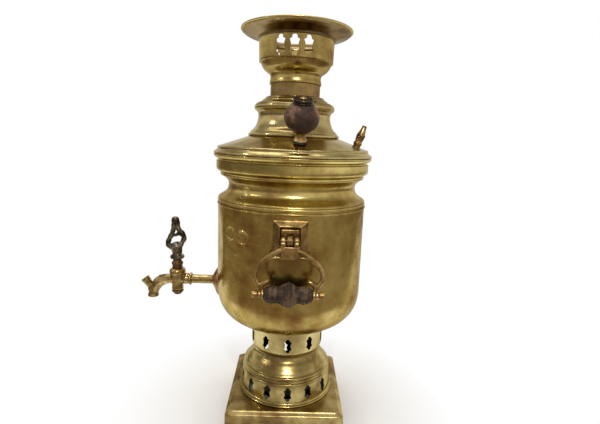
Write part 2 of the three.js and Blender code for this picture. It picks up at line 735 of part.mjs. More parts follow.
function addKnob(side) {
  const group = framed(samovar, knobFrame(knobAngles[side]));
  const bore = knobScrewRadius + runGap;
  const drill = rod(bore, -overrun, knobBallHeight * 2, fittingSides);
  const drilled = (form) => form.subtract(drill);
  const washerBase = seatGap;
  const stemBase = washerBase + knobWasherHeight + seatGap;
  const ballBase = stemBase + knobStemHeight + seatGap;
  const capBase = ballBase + knobBallHeight + seatGap;
  const headBase = capBase + knobCapHeight + seatGap;
  const nutTop = -sheetWall - seatGap;
  const nutBase = nutTop - knobNutHeight;
  const washer = rod(knobWasherRadius, washerBase, washerBase + knobWasherHeight, fittingSides);
  const stem = turned(scaled(knobStemRadius, knobStemHeight, stemShares, stemBase), fittingSides);
  const ball = turned(scaled(knobBallRadius, knobBallHeight, ballShares, ballBase), ballSides);
  const cap = turned(scaled(knobCapRadius, knobCapHeight, capShares, capBase), ballSides);
  const headTop = headBase + knobHeadHeight;
  const head = turned([[knobHeadRadius, headBase], [knobHeadRadius / 2, headTop]], fittingSides);
  const shank = rod(knobScrewRadius, nutBase - seatGap * 2, headBase + seatGap, fittingSides);
  const slot = block(knobHeadRadius * 3, knobSlotWidth, knobHeadHeight, 0, 0, headTop);
  const nut = rod(knobNutRadius, nutBase, nutTop, 6)
    .subtract(rod(bore, nutBase - overrun, nutTop + overrun, fittingSides));
  piece(group, `knob_${side}_washer`, drilled(washer), fibre());
  piece(group, `knob_${side}_stem`, drilled(stem), castBronze());
  piece(group, `knob_${side}_ball`, drilled(ball), turnedWood());
  piece(group, `knob_${side}_cap`, drilled(cap), darkMetal());
  piece(group, `knob_${side}_screw`, union(head, shank).subtract(slot), castBronze());
  piece(group, `knob_${side}_nut`, nut, castBronze());
}

// The vent's cap turns on a hollow tenon, and lets the steam out through small holes in its side.
function addVent() {
  const group = framed(samovar, ventFrame);
  const tenonBase = seatGap + ventFootHeight;
  const tenonTop = tenonBase + ventTenonHeight;
  const capBase = tenonBase + seatGap;
  const foot = turned(scaled(ventFootRadius, ventFootHeight, ventFootShares, seatGap), fittingSides);
  const tenon = rod(ventTenonRadius, -sheetWall - ventTailLength, tenonTop, fittingSides);
  const bore = rod(ventBoreRadius, -sheetWall - ventTailLength - overrun, tenonTop + overrun, fittingSides);
  const cap = turned(scaled(ventCapRadius, ventCapHeight, ventCapShares, capBase), fittingSides);
  const socketTop = tenonTop + ventHoleRadius * 2;
  const socket = rod(ventTenonRadius + runGap, capBase - overrun, socketTop, fittingSides);
  const holeHeight = tenonTop + ventHoleRadius;
  const cross = evenAngles(ventHoles / 2).map((angle) =>
    solid(turnedGeometry([[0, -ventCapRadius * 2], [ventHoleRadius, -ventCapRadius * 2],
      [ventHoleRadius, ventCapRadius * 2], [0, ventCapRadius * 2]], 6)
      .rotateX(Math.PI / 2).rotateZ(angle / 2 + Math.PI / 4).translate(0, 0, holeHeight)));
  piece(group, "vent_base", union(foot, tenon).subtract(bore), castBronze());
  piece(group, "vent_cap", cross.reduce((left, c) => left.subtract(c), cap.subtract(socket)), castBronze());
}

// Crown

function addCrownCup() {
  const bowlFoot = crownBase + crownSleeveHeight;
  const stepRadius = cupRadius - cupStep;
  const sleeveInner = chimneyRadius - crownSeatDepth + runGap;
  const outer = [
    [crownSleeveRadius, crownBase],
    ...curve(crownSleeveRadius, bowlFoot, stepRadius, cupWallBase, cupBowlShares),
    [cupRadius, cupWallBase + cupStep],
    [cupRadius, cupTop],
  ];
  const inner = [
    [sleeveInner, crownBase],
    [sleeveInner, bowlFoot + sheetWall],
    [stepRadius - sheetWall * 3, cupWallBase - sheetWall * 3],
    [cupRadius - sheetWall, cupWallBase + sheetWall],
    [cupRadius - sheetWall, cupTop],
  ];
  const angles = evenAngles(cupHoleGroups).flatMap((group) =>
    Array.from({ length: cupHolesInGroup }, (_, i) =>
      group + cupHoleStart + (i - (cupHolesInGroup - 1) / 2) * cupHoleSpacing));
  const middle = cupWallBase + cupHoleRise + cupHoleHeight / 2;
  const wall = turnedRing(outer, inner, ringSides);
  const cup = pierced(wall, angles, cupHoleWidth, cupHoleHeight, cupRadius, middle);
  piece(samovar, "crown_cup", cup, spunBrass());
}

function addCrownDish() {
  const mouth = cupRadius - sheetWall - runGap;
  const edge = dishRadius - dishRollRadius;
  const edgeHeight = dishBase + dishRise;
  const slope = (radius) => between(dishBase, edgeHeight, (radius - cupRadius) / (edge - cupRadius));
  const outer = [
    [cupRadius + dishWall, dishBase],
    [edge, edgeHeight],
    [dishRadius, edgeHeight + dishRollRadius],
    [dishRadius, edgeHeight + dishRollRadius * 2],
    [edge, edgeHeight + dishRollRadius * 2 + dishWall / 4],
  ];
  const inner = [
    [mouth, dishBase],
    [mouth, dishBase - dishLipDepth],
    [mouth - sheetWall, dishBase - dishLipDepth],
    [mouth - sheetWall, dishBase + dishWall],
    [cupRadius + dishWall, slope(cupRadius) + dishWall],
    [edge - dishRollRadius, slope(edge - dishRollRadius) + dishWall],
  ];
  piece(samovar, "crown_dish", turnedRing(outer, inner, ringSides), spunBrass());
}

// Tap

const alongTap = (outline, sides) =>
  solid(turnedGeometry(outline, sides).rotateY(-Math.PI / 2).translate(0, 0, tapHeight));

const onPlugAxis = (form) => form.translate([plugX, 0, 0]);

const spoutPath = () => {
  const start = tapHeight;
  const end = tapHeight - spoutDrop;
  return spoutPathShares.map(([x, z]) => [plugX - spoutReach * x, 0, between(start, end, z)]);
};

function addEscutcheon() {
  const half = escutcheonHeight / 2;
  const sides = escutcheonWidth / 2;
  const upperLeft = escutcheonShares.map(([x, z]) => [-x * sides, z * half]);
  const lowerLeft = upperLeft.map(([x, z]) => [x, -z]).reverse();
  const leftSide = [...upperLeft, ...lowerLeft];
  const rightSide = leftSide.slice(1, -1).map(([x, z]) => [-x, z]).reverse();
  const leaf = [...leftSide, ...rightSide];
  const reach = bodyRadius + escutcheonDepth;
  const prism = solid(flatPlate(leaf, reach).translate(0, -reach / 2, 0).rotateZ(-Math.PI / 2)
    .translate(0, 0, tapHeight));
  const dome = alongTap([[0, 0], [half * 2, 0], [half * escutcheonRimShare, bodyRadius - pipeRadius],
    [pipeRadius * escutcheonNeckShare, reach], [0, reach]], ballSides);
  const wall = rod(bodyRadius + seatGap, tapHeight - half * 2, tapHeight + half * 2, ringSides);
  const hole = alongTap([[0, 0], [pipeRadius + seatGap, 0], [pipeRadius + seatGap, reach + overrun],
    [0, reach + overrun]], fittingSides);
  piece(samovar, "tap_escutcheon", prism.intersect(dome).subtract(wall).subtract(hole), castBronze());
}

// The beak is a small upturned gutter on the front of the spout.
function beakForm() {
  const outer = new THREE.BoxGeometry(beakLength, beakWidth, beakWidth);
  const inner = new THREE.BoxGeometry(beakLength, beakWidth - beakWall * 2, beakWidth);
  const turn = new THREE.Matrix4().makeRotationY(Math.PI / 4);
  const [x, , z] = spoutPath()[3];
  const reach = place(x, 0, z).multiply(turn).multiply(place(-beakLength / 2, 0, 0));
  const gutter = solid(outer.applyMatrix4(reach));
  const groove = solid(inner.translate(-spoutRadius, 0, beakWall * 2).applyMatrix4(reach));
  return gutter.subtract(groove);
}

function addTapBody() {
  const wallInside = (bodyRadius - sheetWall) * Math.cos(Math.PI / ringSides);
  const collarFoot = -plugX - barrelTopRadius - tapCollarLength;
  const collarEnd = collarFoot + tapCollarLength;
  const pipeEnd = -plugX - plugTopRadius / 2;
  const pipe = alongTap([[0, wallInside], [pipeRadius, wallInside], [pipeRadius, collarFoot],
    [tapCollarRadius, collarFoot + tapCollarLength / 4], [tapCollarRadius, collarEnd - tapCollarLength / 4],
    [pipeRadius, collarEnd], [pipeRadius, pipeEnd], [0, pipeEnd]], fittingSides);
  const barrelLine = curve(barrelFootRadius, barrelFoot, barrelTopRadius, barrelTop, barrelShares);
  const barrel = onPlugAxis(turned(barrelLine, ballSides));
  const path = spoutPath();
  const spout = solid(sweep(path, spoutRadius, armSteps, fittingSides));
  const outletBase = tapHeight - spoutDrop;
  const outletX = plugX - spoutReach;
  const outletLine = scaled(outletRadius, outletHeight, outletShares, outletBase - seatGap);
  const outlet = turned(outletLine, fittingSides).translate([outletX, 0, 0]);
  const waterway = alongTap([[0, wallInside - overrun], [waterwayRadius, wallInside - overrun],
    [waterwayRadius, pipeEnd], [0, pipeEnd]], fittingSides);
  const past = [outletX, 0, outletBase - overrun];
  const spoutBore = solid(sweep([...path, past], waterwayRadius, armSteps, fittingSides));
  const plugBore = onPlugAxis(turned([
    [plugFootRadius + runGap, barrelFoot - overrun],
    [plugFootRadius + runGap, barrelFoot],
    [plugTopRadius + runGap, barrelTop],
    [plugTopRadius + runGap, barrelTop + overrun],
  ], ballSides));
  const body = union(pipe, barrel, spout, outlet, beakForm());
  const cut = body.subtract(plugBore).subtract(waterway).subtract(spoutBore);
  piece(samovar, "tap_body", cut, castBrass());
}

function keyHandle(base) {
  const half = keyHandleWidth / 2;
  const right = keyHandleShares.map(([x, z]) => [x * half, z * keyHandleHeight]);
  const left = right.map(([x, z]) => [-x, z]).reverse();
  const leaf = solid(flatPlate([...right, ...left].reverse(), keyHandleThickness).translate(0, 0, base));
  const eye = keyEyeShares.map(([x, z]) => [
    x * half * keyEyeWidthShare,
    z * (keyHandleHeight * keyEyeHeightShare) / 2 + keyHandleHeight * keyEyeRiseShare,
  ]);
  const slot = keySlotShares.map(([x, z]) => [x * half, z * keyHandleHeight]);
  const cutter = (outline) => solid(flatPlate(outline, keyHandleThickness + overrun).translate(0, 0, base));
  return leaf.subtract(cutter(eye)).subtract(cutter(slot));
}

function addTapKey() {
  const washerTop = barrelFoot - seatGap;
  const washerBase = washerTop - plugWasherHeight;
  const buttonTop = washerBase - seatGap;
  const stemTop = keyBase + keyStemHeight;
  const discTop = stemTop + keyDiscHeight;
  const plug = turned([
    [plugTailRadius, buttonTop - seatGap],
    [plugTailRadius, barrelFoot],
    [plugFootRadius, barrelFoot],
    [plugTopRadius, barrelTop],
    [plugTopRadius, keyBase + seatGap],
  ], ballSides);
  const button = turned([
    [plugButtonRadius / 2, buttonTop - plugButtonHeight],
    [plugButtonRadius, buttonTop - plugButtonHeight / 2],
    [plugButtonRadius, buttonTop],
  ], fittingSides);
  const stem = turned(scaled(keyStemRadius, keyStemHeight, keyStemShares, keyBase), ballSides);
  const disc = turned(scaled(keyDiscRadius, keyDiscHeight, keyDiscShares, stemTop - seatGap), ballSides);
  const handle = keyHandle(discTop - seatGap * 2);
  const port = alongTap([[0, -plugX - plugTopRadius * 2], [waterwayRadius, -plugX - plugTopRadius * 2],
    [waterwayRadius, -plugX + plugTopRadius * 2], [0, -plugX + plugTopRadius * 2]], fittingSides);
  const key = onPlugAxis(union(plug, button, stem, disc, handle)).subtract(port);
  piece(samovar, "tap_key", key, castBrass());
  const washer = rod(plugWasherRadius, washerBase, washerTop, fittingSides)
    .subtract(rod(plugTailRadius + runGap, washerBase - overrun, washerTop + overrun, fittingSides));
  piece(samovar, "tap_key_washer", onPlugAxis(washer), darkMetal());
}

// Handles: each is built as the front one, and the back one is turned half round

const alongX = (radius, left, right, sides) => {
  const line = [[0, left], [radius, left], [radius, right], [0, right]];
  return solid(turnedGeometry(line, sides).rotateY(Math.PI / 2));
};

function hingePlate() {
  const top = pinHeight + hingePlateAbove;
  const low = top - hingePlateHeight;
  const middle = (top + low) / 2;
  const face = bodyRadius + seatGap + hingePlateThickness;
  const back = bodyRadius / 2;
  const edge = face - hingeFrameDepth;
  const slab = block(hingePlateWidth, edge - back, hingePlateHeight, 0, -(edge + back) / 2, middle);
  const frameLine = [[0, 0], [Math.SQRT2, 0], [Math.SQRT2 * hingeFrameShare(), 1], [0, 1]];
  const frame = solid(turnedGeometry(frameLine, 4).rotateZ(Math.PI / 4).rotateX(Math.PI / 2)
    .scale(hingePlateWidth / 2, hingeFrameDepth, hingePlateHeight / 2).translate(0, -edge, middle));
  const blockTop = pinHeight + knuckleRadius + hingeBlockHeight;
  const blockWidth = lugWidth + knuckleWidth * 2 + seatGap * 2;
  const raised = block(blockWidth, hingeBlockDepth * 2, hingeBlockHeight - runGap, 0, -face,
    blockTop - (hingeBlockHeight + runGap) / 2);
  const lugReach = pinReach - edge;
  const lugBlock = block(lugWidth, lugReach, knuckleRadius * 2, 0, -edge - lugReach / 2, pinHeight);
  const lugEnd = alongX(knuckleRadius, -lugWidth / 2, lugWidth / 2, fittingSides)
    .translate([0, -pinReach, pinHeight]);
  const eye = alongX(pinRadius + seatGap, -lugWidth, lugWidth, fittingSides)
    .translate([0, -pinReach, pinHeight]);
  const wall = rod(bodyRadius + seatGap, low - overrun, top + overrun, ringSides);
  return union(slab, frame, raised, lugBlock, lugEnd).subtract(eye).subtract(wall);
}

function hingeFrameShare() {
  return 1 - (hingeFrameWidth * 2) / hingePlateWidth;
}

function bail() {
  const half = gripLength / 2 + bailOverhang;
  const knuckle = (side) => {
    const inside = side * (lugWidth / 2 + seatGap);
    const outside = inside + side * knuckleWidth;
    const [left, right] = [Math.min(inside, outside), Math.max(inside, outside)];
    const ring = alongX(knuckleRadius, left, right, fittingSides);
    const blockTop = -knuckleRadius - runGap;
    const web = block(knuckleWidth, bailThickness, knuckleRadius, (left + right) / 2, 0, blockTop + runGap);
    return union(ring, web);
  };
  const blockTop = -knuckleRadius - runGap;
  const blockMiddle = blockTop - bailBlockHeight / 2;
  const centre = block(bailBlockWidth, bailThickness, bailBlockHeight, 0, 0, blockMiddle);
  const eyeX = gripLength / 2 + seatGap + bailEyeWidth / 2;
  const arm = (side) => {
    const foot = [side * eyeX, 0, bailEyeRadius - bailDrop];
    const line = [...armPathShares.map(([x, z]) => [side * x * half, 0, -z * bailDrop]), foot];
    const tube = solid(sweep(line, bailArmWidth / 2, armSteps, armSides));
    const eye = alongX(bailEyeRadius, -bailEyeWidth / 2, bailEyeWidth / 2, fittingSides)
      .translate([side * eyeX, 0, -bailDrop]);
    const [endX, , endZ] = foot;
    const leaf = leafShares.map(([x, z]) => [
      endX - side * bailLeafLength * x,
      endZ + bailLeafLength * x + bailLeafWidth * z,
    ]);
    const ordered = side > 0 ? leaf : [...leaf].reverse();
    const curl = solid(flatPlate(ordered, bailThickness * waistKnuckleShare));
    return union(tube, eye, curl);
  };
  const bore = alongX(pinRadius + seatGap, -half, half, fittingSides);
  const rodHole = alongX(gripRodRadius + seatGap, -half, half, fittingSides).translate([0, 0, -bailDrop]);
  const whole = union(knuckle(-1), knuckle(1), centre, arm(-1), arm(1));
  const drilledBail = whole.subtract(bore).subtract(rodHole);
  return gripCutters().reduce((left, cutter) => left.subtract(cutter), drilledBail);
}

// The spaces that the grip and the nuts beside it need inside the bail.
function gripCutters() {
  const half = gripLength / 2 + seatGap;
  const outline = gripShares.map(([r, x]) => [gripRadius * r + runGap, between(-half, half, x)]);
  const nutBase = half + bailEyeWidth;
  const nutEnd = nutBase + gripNutLength * 2;
  const nutSpace = gripNutRadius + runGap;
  return [
    turnedAlongX(outline, ballSides),
    alongX(nutSpace, nutBase, nutEnd, fittingSides),
    alongX(nutSpace, -nutEnd, -nutBase, fittingSides),
  ].map((cutter) => cutter.translate([0, 0, -bailDrop]));
}

function turnedAlongX(outline, sides) {
  const low = outline[0][1];
  const high = outline[outline.length - 1][1];
  return solid(turnedGeometry([[0, low], ...outline, [0, high]], sides).rotateY(Math.PI / 2));
}

function addHandle(side, turn) {
  const fixed = framed(samovar, new THREE.Matrix4().makeRotationZ(turn));
  const lean = new THREE.Matrix4().makeRotationX(-bailTilt);
  const swinging = framed(fixed, place(0, -pinReach, pinHeight).multiply(lean));
  piece(fixed, `handle_${side}_plate`, hingePlate(), castBronze());
  const pinHalf = lugWidth / 2 + seatGap + knuckleWidth + pinProud;
  const pin = alongX(pinRadius, -pinHalf, pinHalf, fittingSides).translate([0, -pinReach, pinHeight]);
  piece(fixed, `handle_${side}_pin`, pin, castBrass());
  piece(swinging, `handle_${side}_bail`, bail(), castBronze());
  const gripHalf = gripLength / 2;
  const outline = gripShares.map(([r, x]) => [gripRadius * r, between(-gripHalf, gripHalf, x)]);
  const bore = alongX(gripRodRadius + seatGap, -gripLength, gripLength, fittingSides);
  const grip = turnedAlongX(outline, ballSides).subtract(bore);
  piece(swinging, `handle_${side}_grip`, grip, turnedWood()).position.setZ(-bailDrop);
  const nutBase = gripHalf + seatGap * 2 + bailEyeWidth;
  const rodHalf = nutBase + gripNutLength * gripNutSocketShare;
  const across = alongX(gripRodRadius, -rodHalf, rodHalf, fittingSides);
  piece(swinging, `handle_${side}_rod`, across, darkMetal()).position.setZ(-bailDrop);
  for (const [end, sign] of [["left", -1], ["right", 1]]) {
    const nutLine = gripNutShares.map(([r, x]) => [gripNutRadius * r, nutBase + gripNutLength * x]);
    const socket = alongX(gripRodRadius + seatGap, 0, rodHalf + seatGap, fittingSides);
    const nut = turnedAlongX(nutLine, fittingSides).subtract(socket);
    const placed = sign > 0 ? nut : nut.rotate([0, 0, 180]);
    piece(swinging, `handle_${side}_nut_${end}`, placed, castBronze()).position.setZ(-bailDrop);
  }
}

addFeet();
addPlate();
addDrum();
addNeck();
addBody();
addRimRing();
addFireTube();
addGrate();
addLid();
addCollar();
addKnob("front");
addKnob("back");
addVent();
addCrownCup();
addCrownDish();
addEscutcheon();
addTapBody();
addTapKey();
addHandle("front", 0);
addHandle("back", Math.PI);

export default samovar;
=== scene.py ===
# %% [markdown]
# # A coal-fired samovar in spun and cast brass
#
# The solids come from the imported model. This script dresses them: every round part is drawn again
# with a fine outline, the cast parts get soft edges, and each metal and wood gets its own finish.
# The part's lengths are written in millimetres and turned to metres when a mesh is made. Camera,
# floor and lamps are placed in metres. Places that the frame knows are read from it.

# %% Load the frame
import json
import math
import bmesh
import bpy
import numpy as np
from mathutils import Matrix, Vector


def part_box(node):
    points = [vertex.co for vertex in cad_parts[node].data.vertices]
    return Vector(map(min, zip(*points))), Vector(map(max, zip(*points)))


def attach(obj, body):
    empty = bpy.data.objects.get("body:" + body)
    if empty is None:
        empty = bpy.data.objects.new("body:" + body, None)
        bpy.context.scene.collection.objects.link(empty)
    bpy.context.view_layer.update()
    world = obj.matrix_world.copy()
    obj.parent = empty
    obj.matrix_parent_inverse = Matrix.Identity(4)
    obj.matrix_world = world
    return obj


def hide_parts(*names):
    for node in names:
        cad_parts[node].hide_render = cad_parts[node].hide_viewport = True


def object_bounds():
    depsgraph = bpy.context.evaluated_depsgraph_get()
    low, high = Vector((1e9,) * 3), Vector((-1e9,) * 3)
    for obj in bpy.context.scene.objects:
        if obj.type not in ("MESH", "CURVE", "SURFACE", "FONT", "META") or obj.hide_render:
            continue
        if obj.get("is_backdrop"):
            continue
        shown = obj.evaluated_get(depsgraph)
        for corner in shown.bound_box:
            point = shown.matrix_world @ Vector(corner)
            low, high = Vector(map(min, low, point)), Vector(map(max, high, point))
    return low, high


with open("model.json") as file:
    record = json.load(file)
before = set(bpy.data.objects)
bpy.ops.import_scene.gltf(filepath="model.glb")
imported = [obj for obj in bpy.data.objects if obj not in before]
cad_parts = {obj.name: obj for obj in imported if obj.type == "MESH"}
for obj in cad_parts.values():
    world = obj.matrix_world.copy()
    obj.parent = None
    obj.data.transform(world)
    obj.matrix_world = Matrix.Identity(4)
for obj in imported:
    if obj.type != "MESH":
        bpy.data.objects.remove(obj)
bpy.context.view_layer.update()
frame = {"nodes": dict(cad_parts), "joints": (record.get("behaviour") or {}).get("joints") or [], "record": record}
MM = 0.001


def in_mm(metres):
    """Lengths of the frame in millimetres, to a thousandth."""
    return [round(v / MM, 3) for v in metres]


low_of = {name: in_mm(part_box(name)[0])[2] for name in frame["nodes"]}
top_of = {name: in_mm(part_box(name)[1])[2] for name in frame["nodes"]}
joint_at = {row["name"]: in_mm(row["pos_m"]) for row in frame["joints"] if "pos_m" in row}

# %% [markdown]
# ## Tools for spun work
#
# A spinner presses a brass disc over a turned form, so every spun part is an outline carried round
# an axis. The outline is a short list of radii and heights. Cutting its corners a few times turns it
# into a smooth line, as a polished edge is, and the highlights then run cleanly round the part.

# %% Outlines
TAU = 2 * math.pi


def soften(points, rounds=2, closed=False):
    """Corner cutting: each straight piece keeps its points at a quarter and three quarters."""
    line = np.asarray(points, float)
    for _ in range(rounds):
        after = np.roll(line, -1, axis=0) if closed else line[1:]
        before = line if closed else line[:-1]
        cut = np.stack([0.75 * before + 0.25 * after, 0.25 * before + 0.75 * after], 1)
        cut = cut.reshape(-1, line.shape[1])
        line = cut if closed else np.concatenate([line[:1], cut, line[-1:]])
    return line


def sheet_loop(outer, wall):
    """A closed outline: the outer line going up, and the same line set in by the wall coming down."""
    along = np.gradient(outer, axis=0)
    along /= np.linalg.norm(along, axis=1)[:, None]
    inner = outer + np.stack([-along[:, 1], along[:, 0]], 1) * wall
    inner[0, 1], inner[-1, 1] = outer[0, 1], outer[-1, 1]
    return np.concatenate([outer, inner[::-1]])


def grid_quads(rows, columns, wrap_rows=False, wrap_columns=True):
    """Quads of a grid of rows by columns, joined to the first row or column where it wraps."""
    i = np.arange(rows if wrap_rows else rows - 1)
    j = np.arange(columns if wrap_columns else columns - 1)
    i, j = np.meshgrid(i, j, indexing="ij")
    a, b = i * columns + j, i * columns + (j + 1) % columns
    c, d = ((i + 1) % rows) * columns + (j + 1) % columns, ((i + 1) % rows) * columns + j
    return np.stack([a, b, c, d], -1).reshape(-1, 4)


def bent(radius, angle, height):
    """x = r cos a, y = r sin a, z = h, for whole arrays of radii, angles and heights."""
    radius, angle, height = np.broadcast_arrays(radius, angle, height)
    return np.stack([radius * np.cos(angle), radius * np.sin(angle), height], -1)


def turned(outline, angles, closed=True):
    """Each outline point goes once round the Z axis, in a number of equal steps or at given angles."""
    a = np.arange(angles) * TAU / angles if isinstance(angles, int) else np.asarray(angles)
    r, h = np.asarray(outline, float).T[..., None]
    return bent(r, a, h).reshape(-1, 3), grid_quads(len(r), len(a), closed)


def solid_turned(outline, angles):
    """A turned solid: the outline is closed on the axis at both ends."""
    line = np.asarray(outline, float)
    line = np.concatenate([[[0, line[0, 1]]], line, [[0, line[-1, 1]]]])
    return turned(line, angles, closed=False)


# %% [markdown]
# ## Placing and joining
#
# Each piece is made where it belongs, in the part's own frame, and its object stays at the origin.
# Doubled points are merged first, then the faces are turned outwards, and edges sharper than a
# fair bend stay crisp.

# %% Making an object from surfaces
SHARP, PRESSED_SHARP, CAST_SHARP = math.radians(38), math.radians(50), math.radians(70)


def joined(*surfaces):
    """Several point and face arrays as one, with the face numbers moved on."""
    points, faces, count = [], [], 0
    for p, f in surfaces:
        points.append(p)
        faces += [[k + count for k in face] for face in f]
        count += len(p)
    return np.concatenate(points), faces


def placed(surface, matrix):
    """Every point of a surface moved by a 4 by 4 matrix."""
    m = np.asarray(matrix, float)
    return surface[0] @ m[:3, :3].T + m[:3, 3], surface[1]


def shifted(surface, *place):
    """A surface moved by x, y and z."""
    return placed(surface, Matrix.Translation(place))


def make_mesh(name, surface):
    """Points in millimetres and faces as a Blender mesh in metres: doubles merged, faces outwards."""
    points, faces = surface
    mesh = bpy.data.meshes.new(name)
    mesh.from_pydata((np.asarray(points) * MM).tolist(), [], [list(f) for f in faces])
    work = bmesh.new()
    work.from_mesh(mesh)
    bmesh.ops.remove_doubles(work, verts=work.verts, dist=2e-6)
    bmesh.ops.dissolve_degenerate(work, edges=work.edges, dist=1e-6)
    bmesh.ops.recalc_face_normals(work, faces=work.faces)
    work.to_mesh(mesh)
    work.free()
    return mesh


def piece(name, surface, body, finish, stands_for=(), sharp=SHARP):
    """A finished piece: its mesh, its material, the body that it rides on and what it stands for."""
    mesh = surface if isinstance(surface, bpy.types.Mesh) else make_mesh(name, surface)
    mesh.shade_smooth()
    mesh.set_sharp_from_angle(angle=sharp)
    mesh.materials.append(finish)
    made = bpy.data.objects.new(name, mesh)
    bpy.context.scene.collection.objects.link(made)
    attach(made, body)
    if stands_for:
        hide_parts(*stands_for)
    print(name, len(mesh.polygons), "faces")
    return made


# %% [markdown]
# ## Finishes
#
# Old brass is not one yellow. Under the polish it is olive, and years of heat and tea leave brown
# clouds. Spinning leaves fine rings that draw each highlight out across them, up and down. Metals
# keep the default index of refraction, so colour and roughness do the work.

# %% Node helpers


def linear(hex_colour):
    """An sRGB hex colour as linear red, green, blue and alpha."""
    parts = [int(hex_colour[i : i + 2], 16) / 255 for i in (1, 3, 5)]
    return [p / 12.92 if p <= 0.04045 else ((p + 0.055) / 1.055) ** 2.4 for p in parts] + [1.0]


def fill(tree, node, **inputs):
    """Fills a node's inputs. i0 is its first input, and any other name is the input's own. A socket
    is linked, a node stands for its first output in use, and anything else is a value."""
    for key, value in inputs.items():
        numbered = key[0] == "i" and key[1:].isdigit()
        socket = node.inputs[int(key[1:]) if numbered else key.replace("_", " ")]
        if isinstance(value, bpy.types.Node):
            value = next(output for output in value.outputs if output.enabled)
        if isinstance(value, bpy.types.NodeSocket):
            tree.links.new(value, socket)
        else:
            socket.default_value = value


def add(tree, kind, settings=None, stops=(), **inputs):
    """Adds a node with its settings and inputs. stops are the places and colours of a ramp."""
    node = tree.nodes.new(kind)
    for key, value in (settings or {}).items():
        setattr(node, key, value)
    if stops:
        elements = node.color_ramp.elements
        for _ in stops[2:]:
            elements.new(0.5)
        for element, (place, colour) in zip(elements, stops):
            element.position, element.color = place, linear(colour)
    fill(tree, node, **inputs)
    return node


def opened(made):
    """A material's tree, its Principled shader and its Object coordinates."""
    tree = made.node_tree
    shader = next(n for n in tree.nodes if n.type == "BSDF_PRINCIPLED")
    return tree, shader, add(tree, "ShaderNodeTexCoord").outputs["Object"]


def new_material(name):
    """A new material, and its tree, shader and coordinates."""
    made = bpy.data.materials.new(name)
    made.use_nodes = True
    return made, *opened(made)


def per_mm(size):
    """Noise scale, in patterns per metre, for features of a size in millimetres."""
    return 1 / (size * MM)


def from_axis(tree, where, operation):
    """The way out from the Z axis: its LENGTH, or its direction where the operation is NORMALIZE."""
    flat = add(tree, "ShaderNodeVectorMath", {"operation": "MULTIPLY"}, i0=where, i1=(1.0, 1.0, 0.0))
    return add(tree, "ShaderNodeVectorMath", {"operation": operation}, i0=flat)


# %% [markdown]
# ### Spun brass with patina
#
# Three patterns colour it: clouds as wide as a hand, stains as wide as a thumb, and spinning rings
# drawn out round the axis. The rings are finer in reality, about 0.1 mm, and are drawn at about
# 1 mm so that they still show in the picture. A fourth pattern, as wide as two fingers, bends the
# mirror a little, as a wall does that was pressed by hand.

# %% Spun brass


def spun_brass(name, light, middle, brown, roughness=0.17, lathe=0.3, dent=0.3, soot_and_shade=False):
    """Patinated brass: cloudy colour and a faintly wavy face. lathe is how far the spinning marks
    draw a highlight out up and down. With soot, faces that look at the axis are black from fire.
    The grey Specular Tint is the film of grime that dulls the edges of each round form."""
    made, tree, shader, where = new_material(name)
    clouds = add(tree, "ShaderNodeTexNoise", Vector=where, Scale=per_mm(60), Detail=4.0, Roughness=0.55)
    stains = add(tree, "ShaderNodeTexNoise", Vector=where, Scale=per_mm(14), Detail=6.0, Roughness=0.65)
    drawn = add(tree, "ShaderNodeMapping", Vector=where, Scale=(0.03, 0.03, 1.0))
    rings = add(tree, "ShaderNodeTexNoise", Vector=drawn, Scale=per_mm(1.1), Detail=3.0)
    both = add(tree, "ShaderNodeMath", {"operation": "MULTIPLY_ADD"}, i0=stains, i1=0.5, i2=clouds)
    tone = add(tree, "ShaderNodeMath", {"operation": "MULTIPLY_ADD"}, i0=rings, i1=0.12, i2=both)
    colour = add(tree, "ShaderNodeValToRGB", stops=((0.62, brown), (0.8, middle), (0.98, light)), Fac=tone)
    if soot_and_shade:
        colour = blackened_inside(tree, where, colour)
    rough = add(tree, "ShaderNodeMapRange", Value=both, From_Min=0.55, From_Max=0.95,
                To_Min=roughness + 0.16, To_Max=roughness)
    waves = add(tree, "ShaderNodeTexNoise", Vector=where, Scale=per_mm(34), Detail=1.0)
    wavy = add(tree, "ShaderNodeBump", Height=waves, Strength=dent, Distance=0.7 * MM)
    fill(tree, shader, Base_Color=colour, Metallic=1.0, Specular_Tint=linear("#cdc7bd"),
         Roughness=rough, Normal=wavy)
    if lathe:
        axis = (0.0, 0.0, 1.0)
        round_it = add(tree, "ShaderNodeVectorMath", {"operation": "CROSS_PRODUCT"}, i0=axis, i1=where)
        fill(tree, shader, Tangent=round_it, Anisotropic=lathe)
    return made


def blackened_inside(tree, where, colour):
    """Soot where the face looks inwards: the normal's product with the way out from the axis."""
    out = from_axis(tree, where, "NORMALIZE")
    face = add(tree, "ShaderNodeNewGeometry").outputs["Normal"]
    facing = add(tree, "ShaderNodeVectorMath", {"operation": "DOT_PRODUCT"}, i0=out, i1=face)
    soot_and_shade_share = add(tree, "ShaderNodeMapRange", Value=facing, From_Min=-0.15, From_Max=-0.35)
    return add(tree, "ShaderNodeMix", {"data_type": "RGBA"}, i0=soot_and_shade_share, i6=colour, i7=linear("#17130f"))


# %% [markdown]
# ### Cast and filed metal
#
# A casting leaves its sand mould with a soft grain, and a file and the hand then brighten what
# sticks out. The Pointiness of the surface tells edges from hollows: edges get the light colour
# and the lower roughness, hollows stay dark and dull. Sand grains are well under 1 mm, and the
# grain is drawn at 2.5 mm so that it shows.

# %% Cast metal


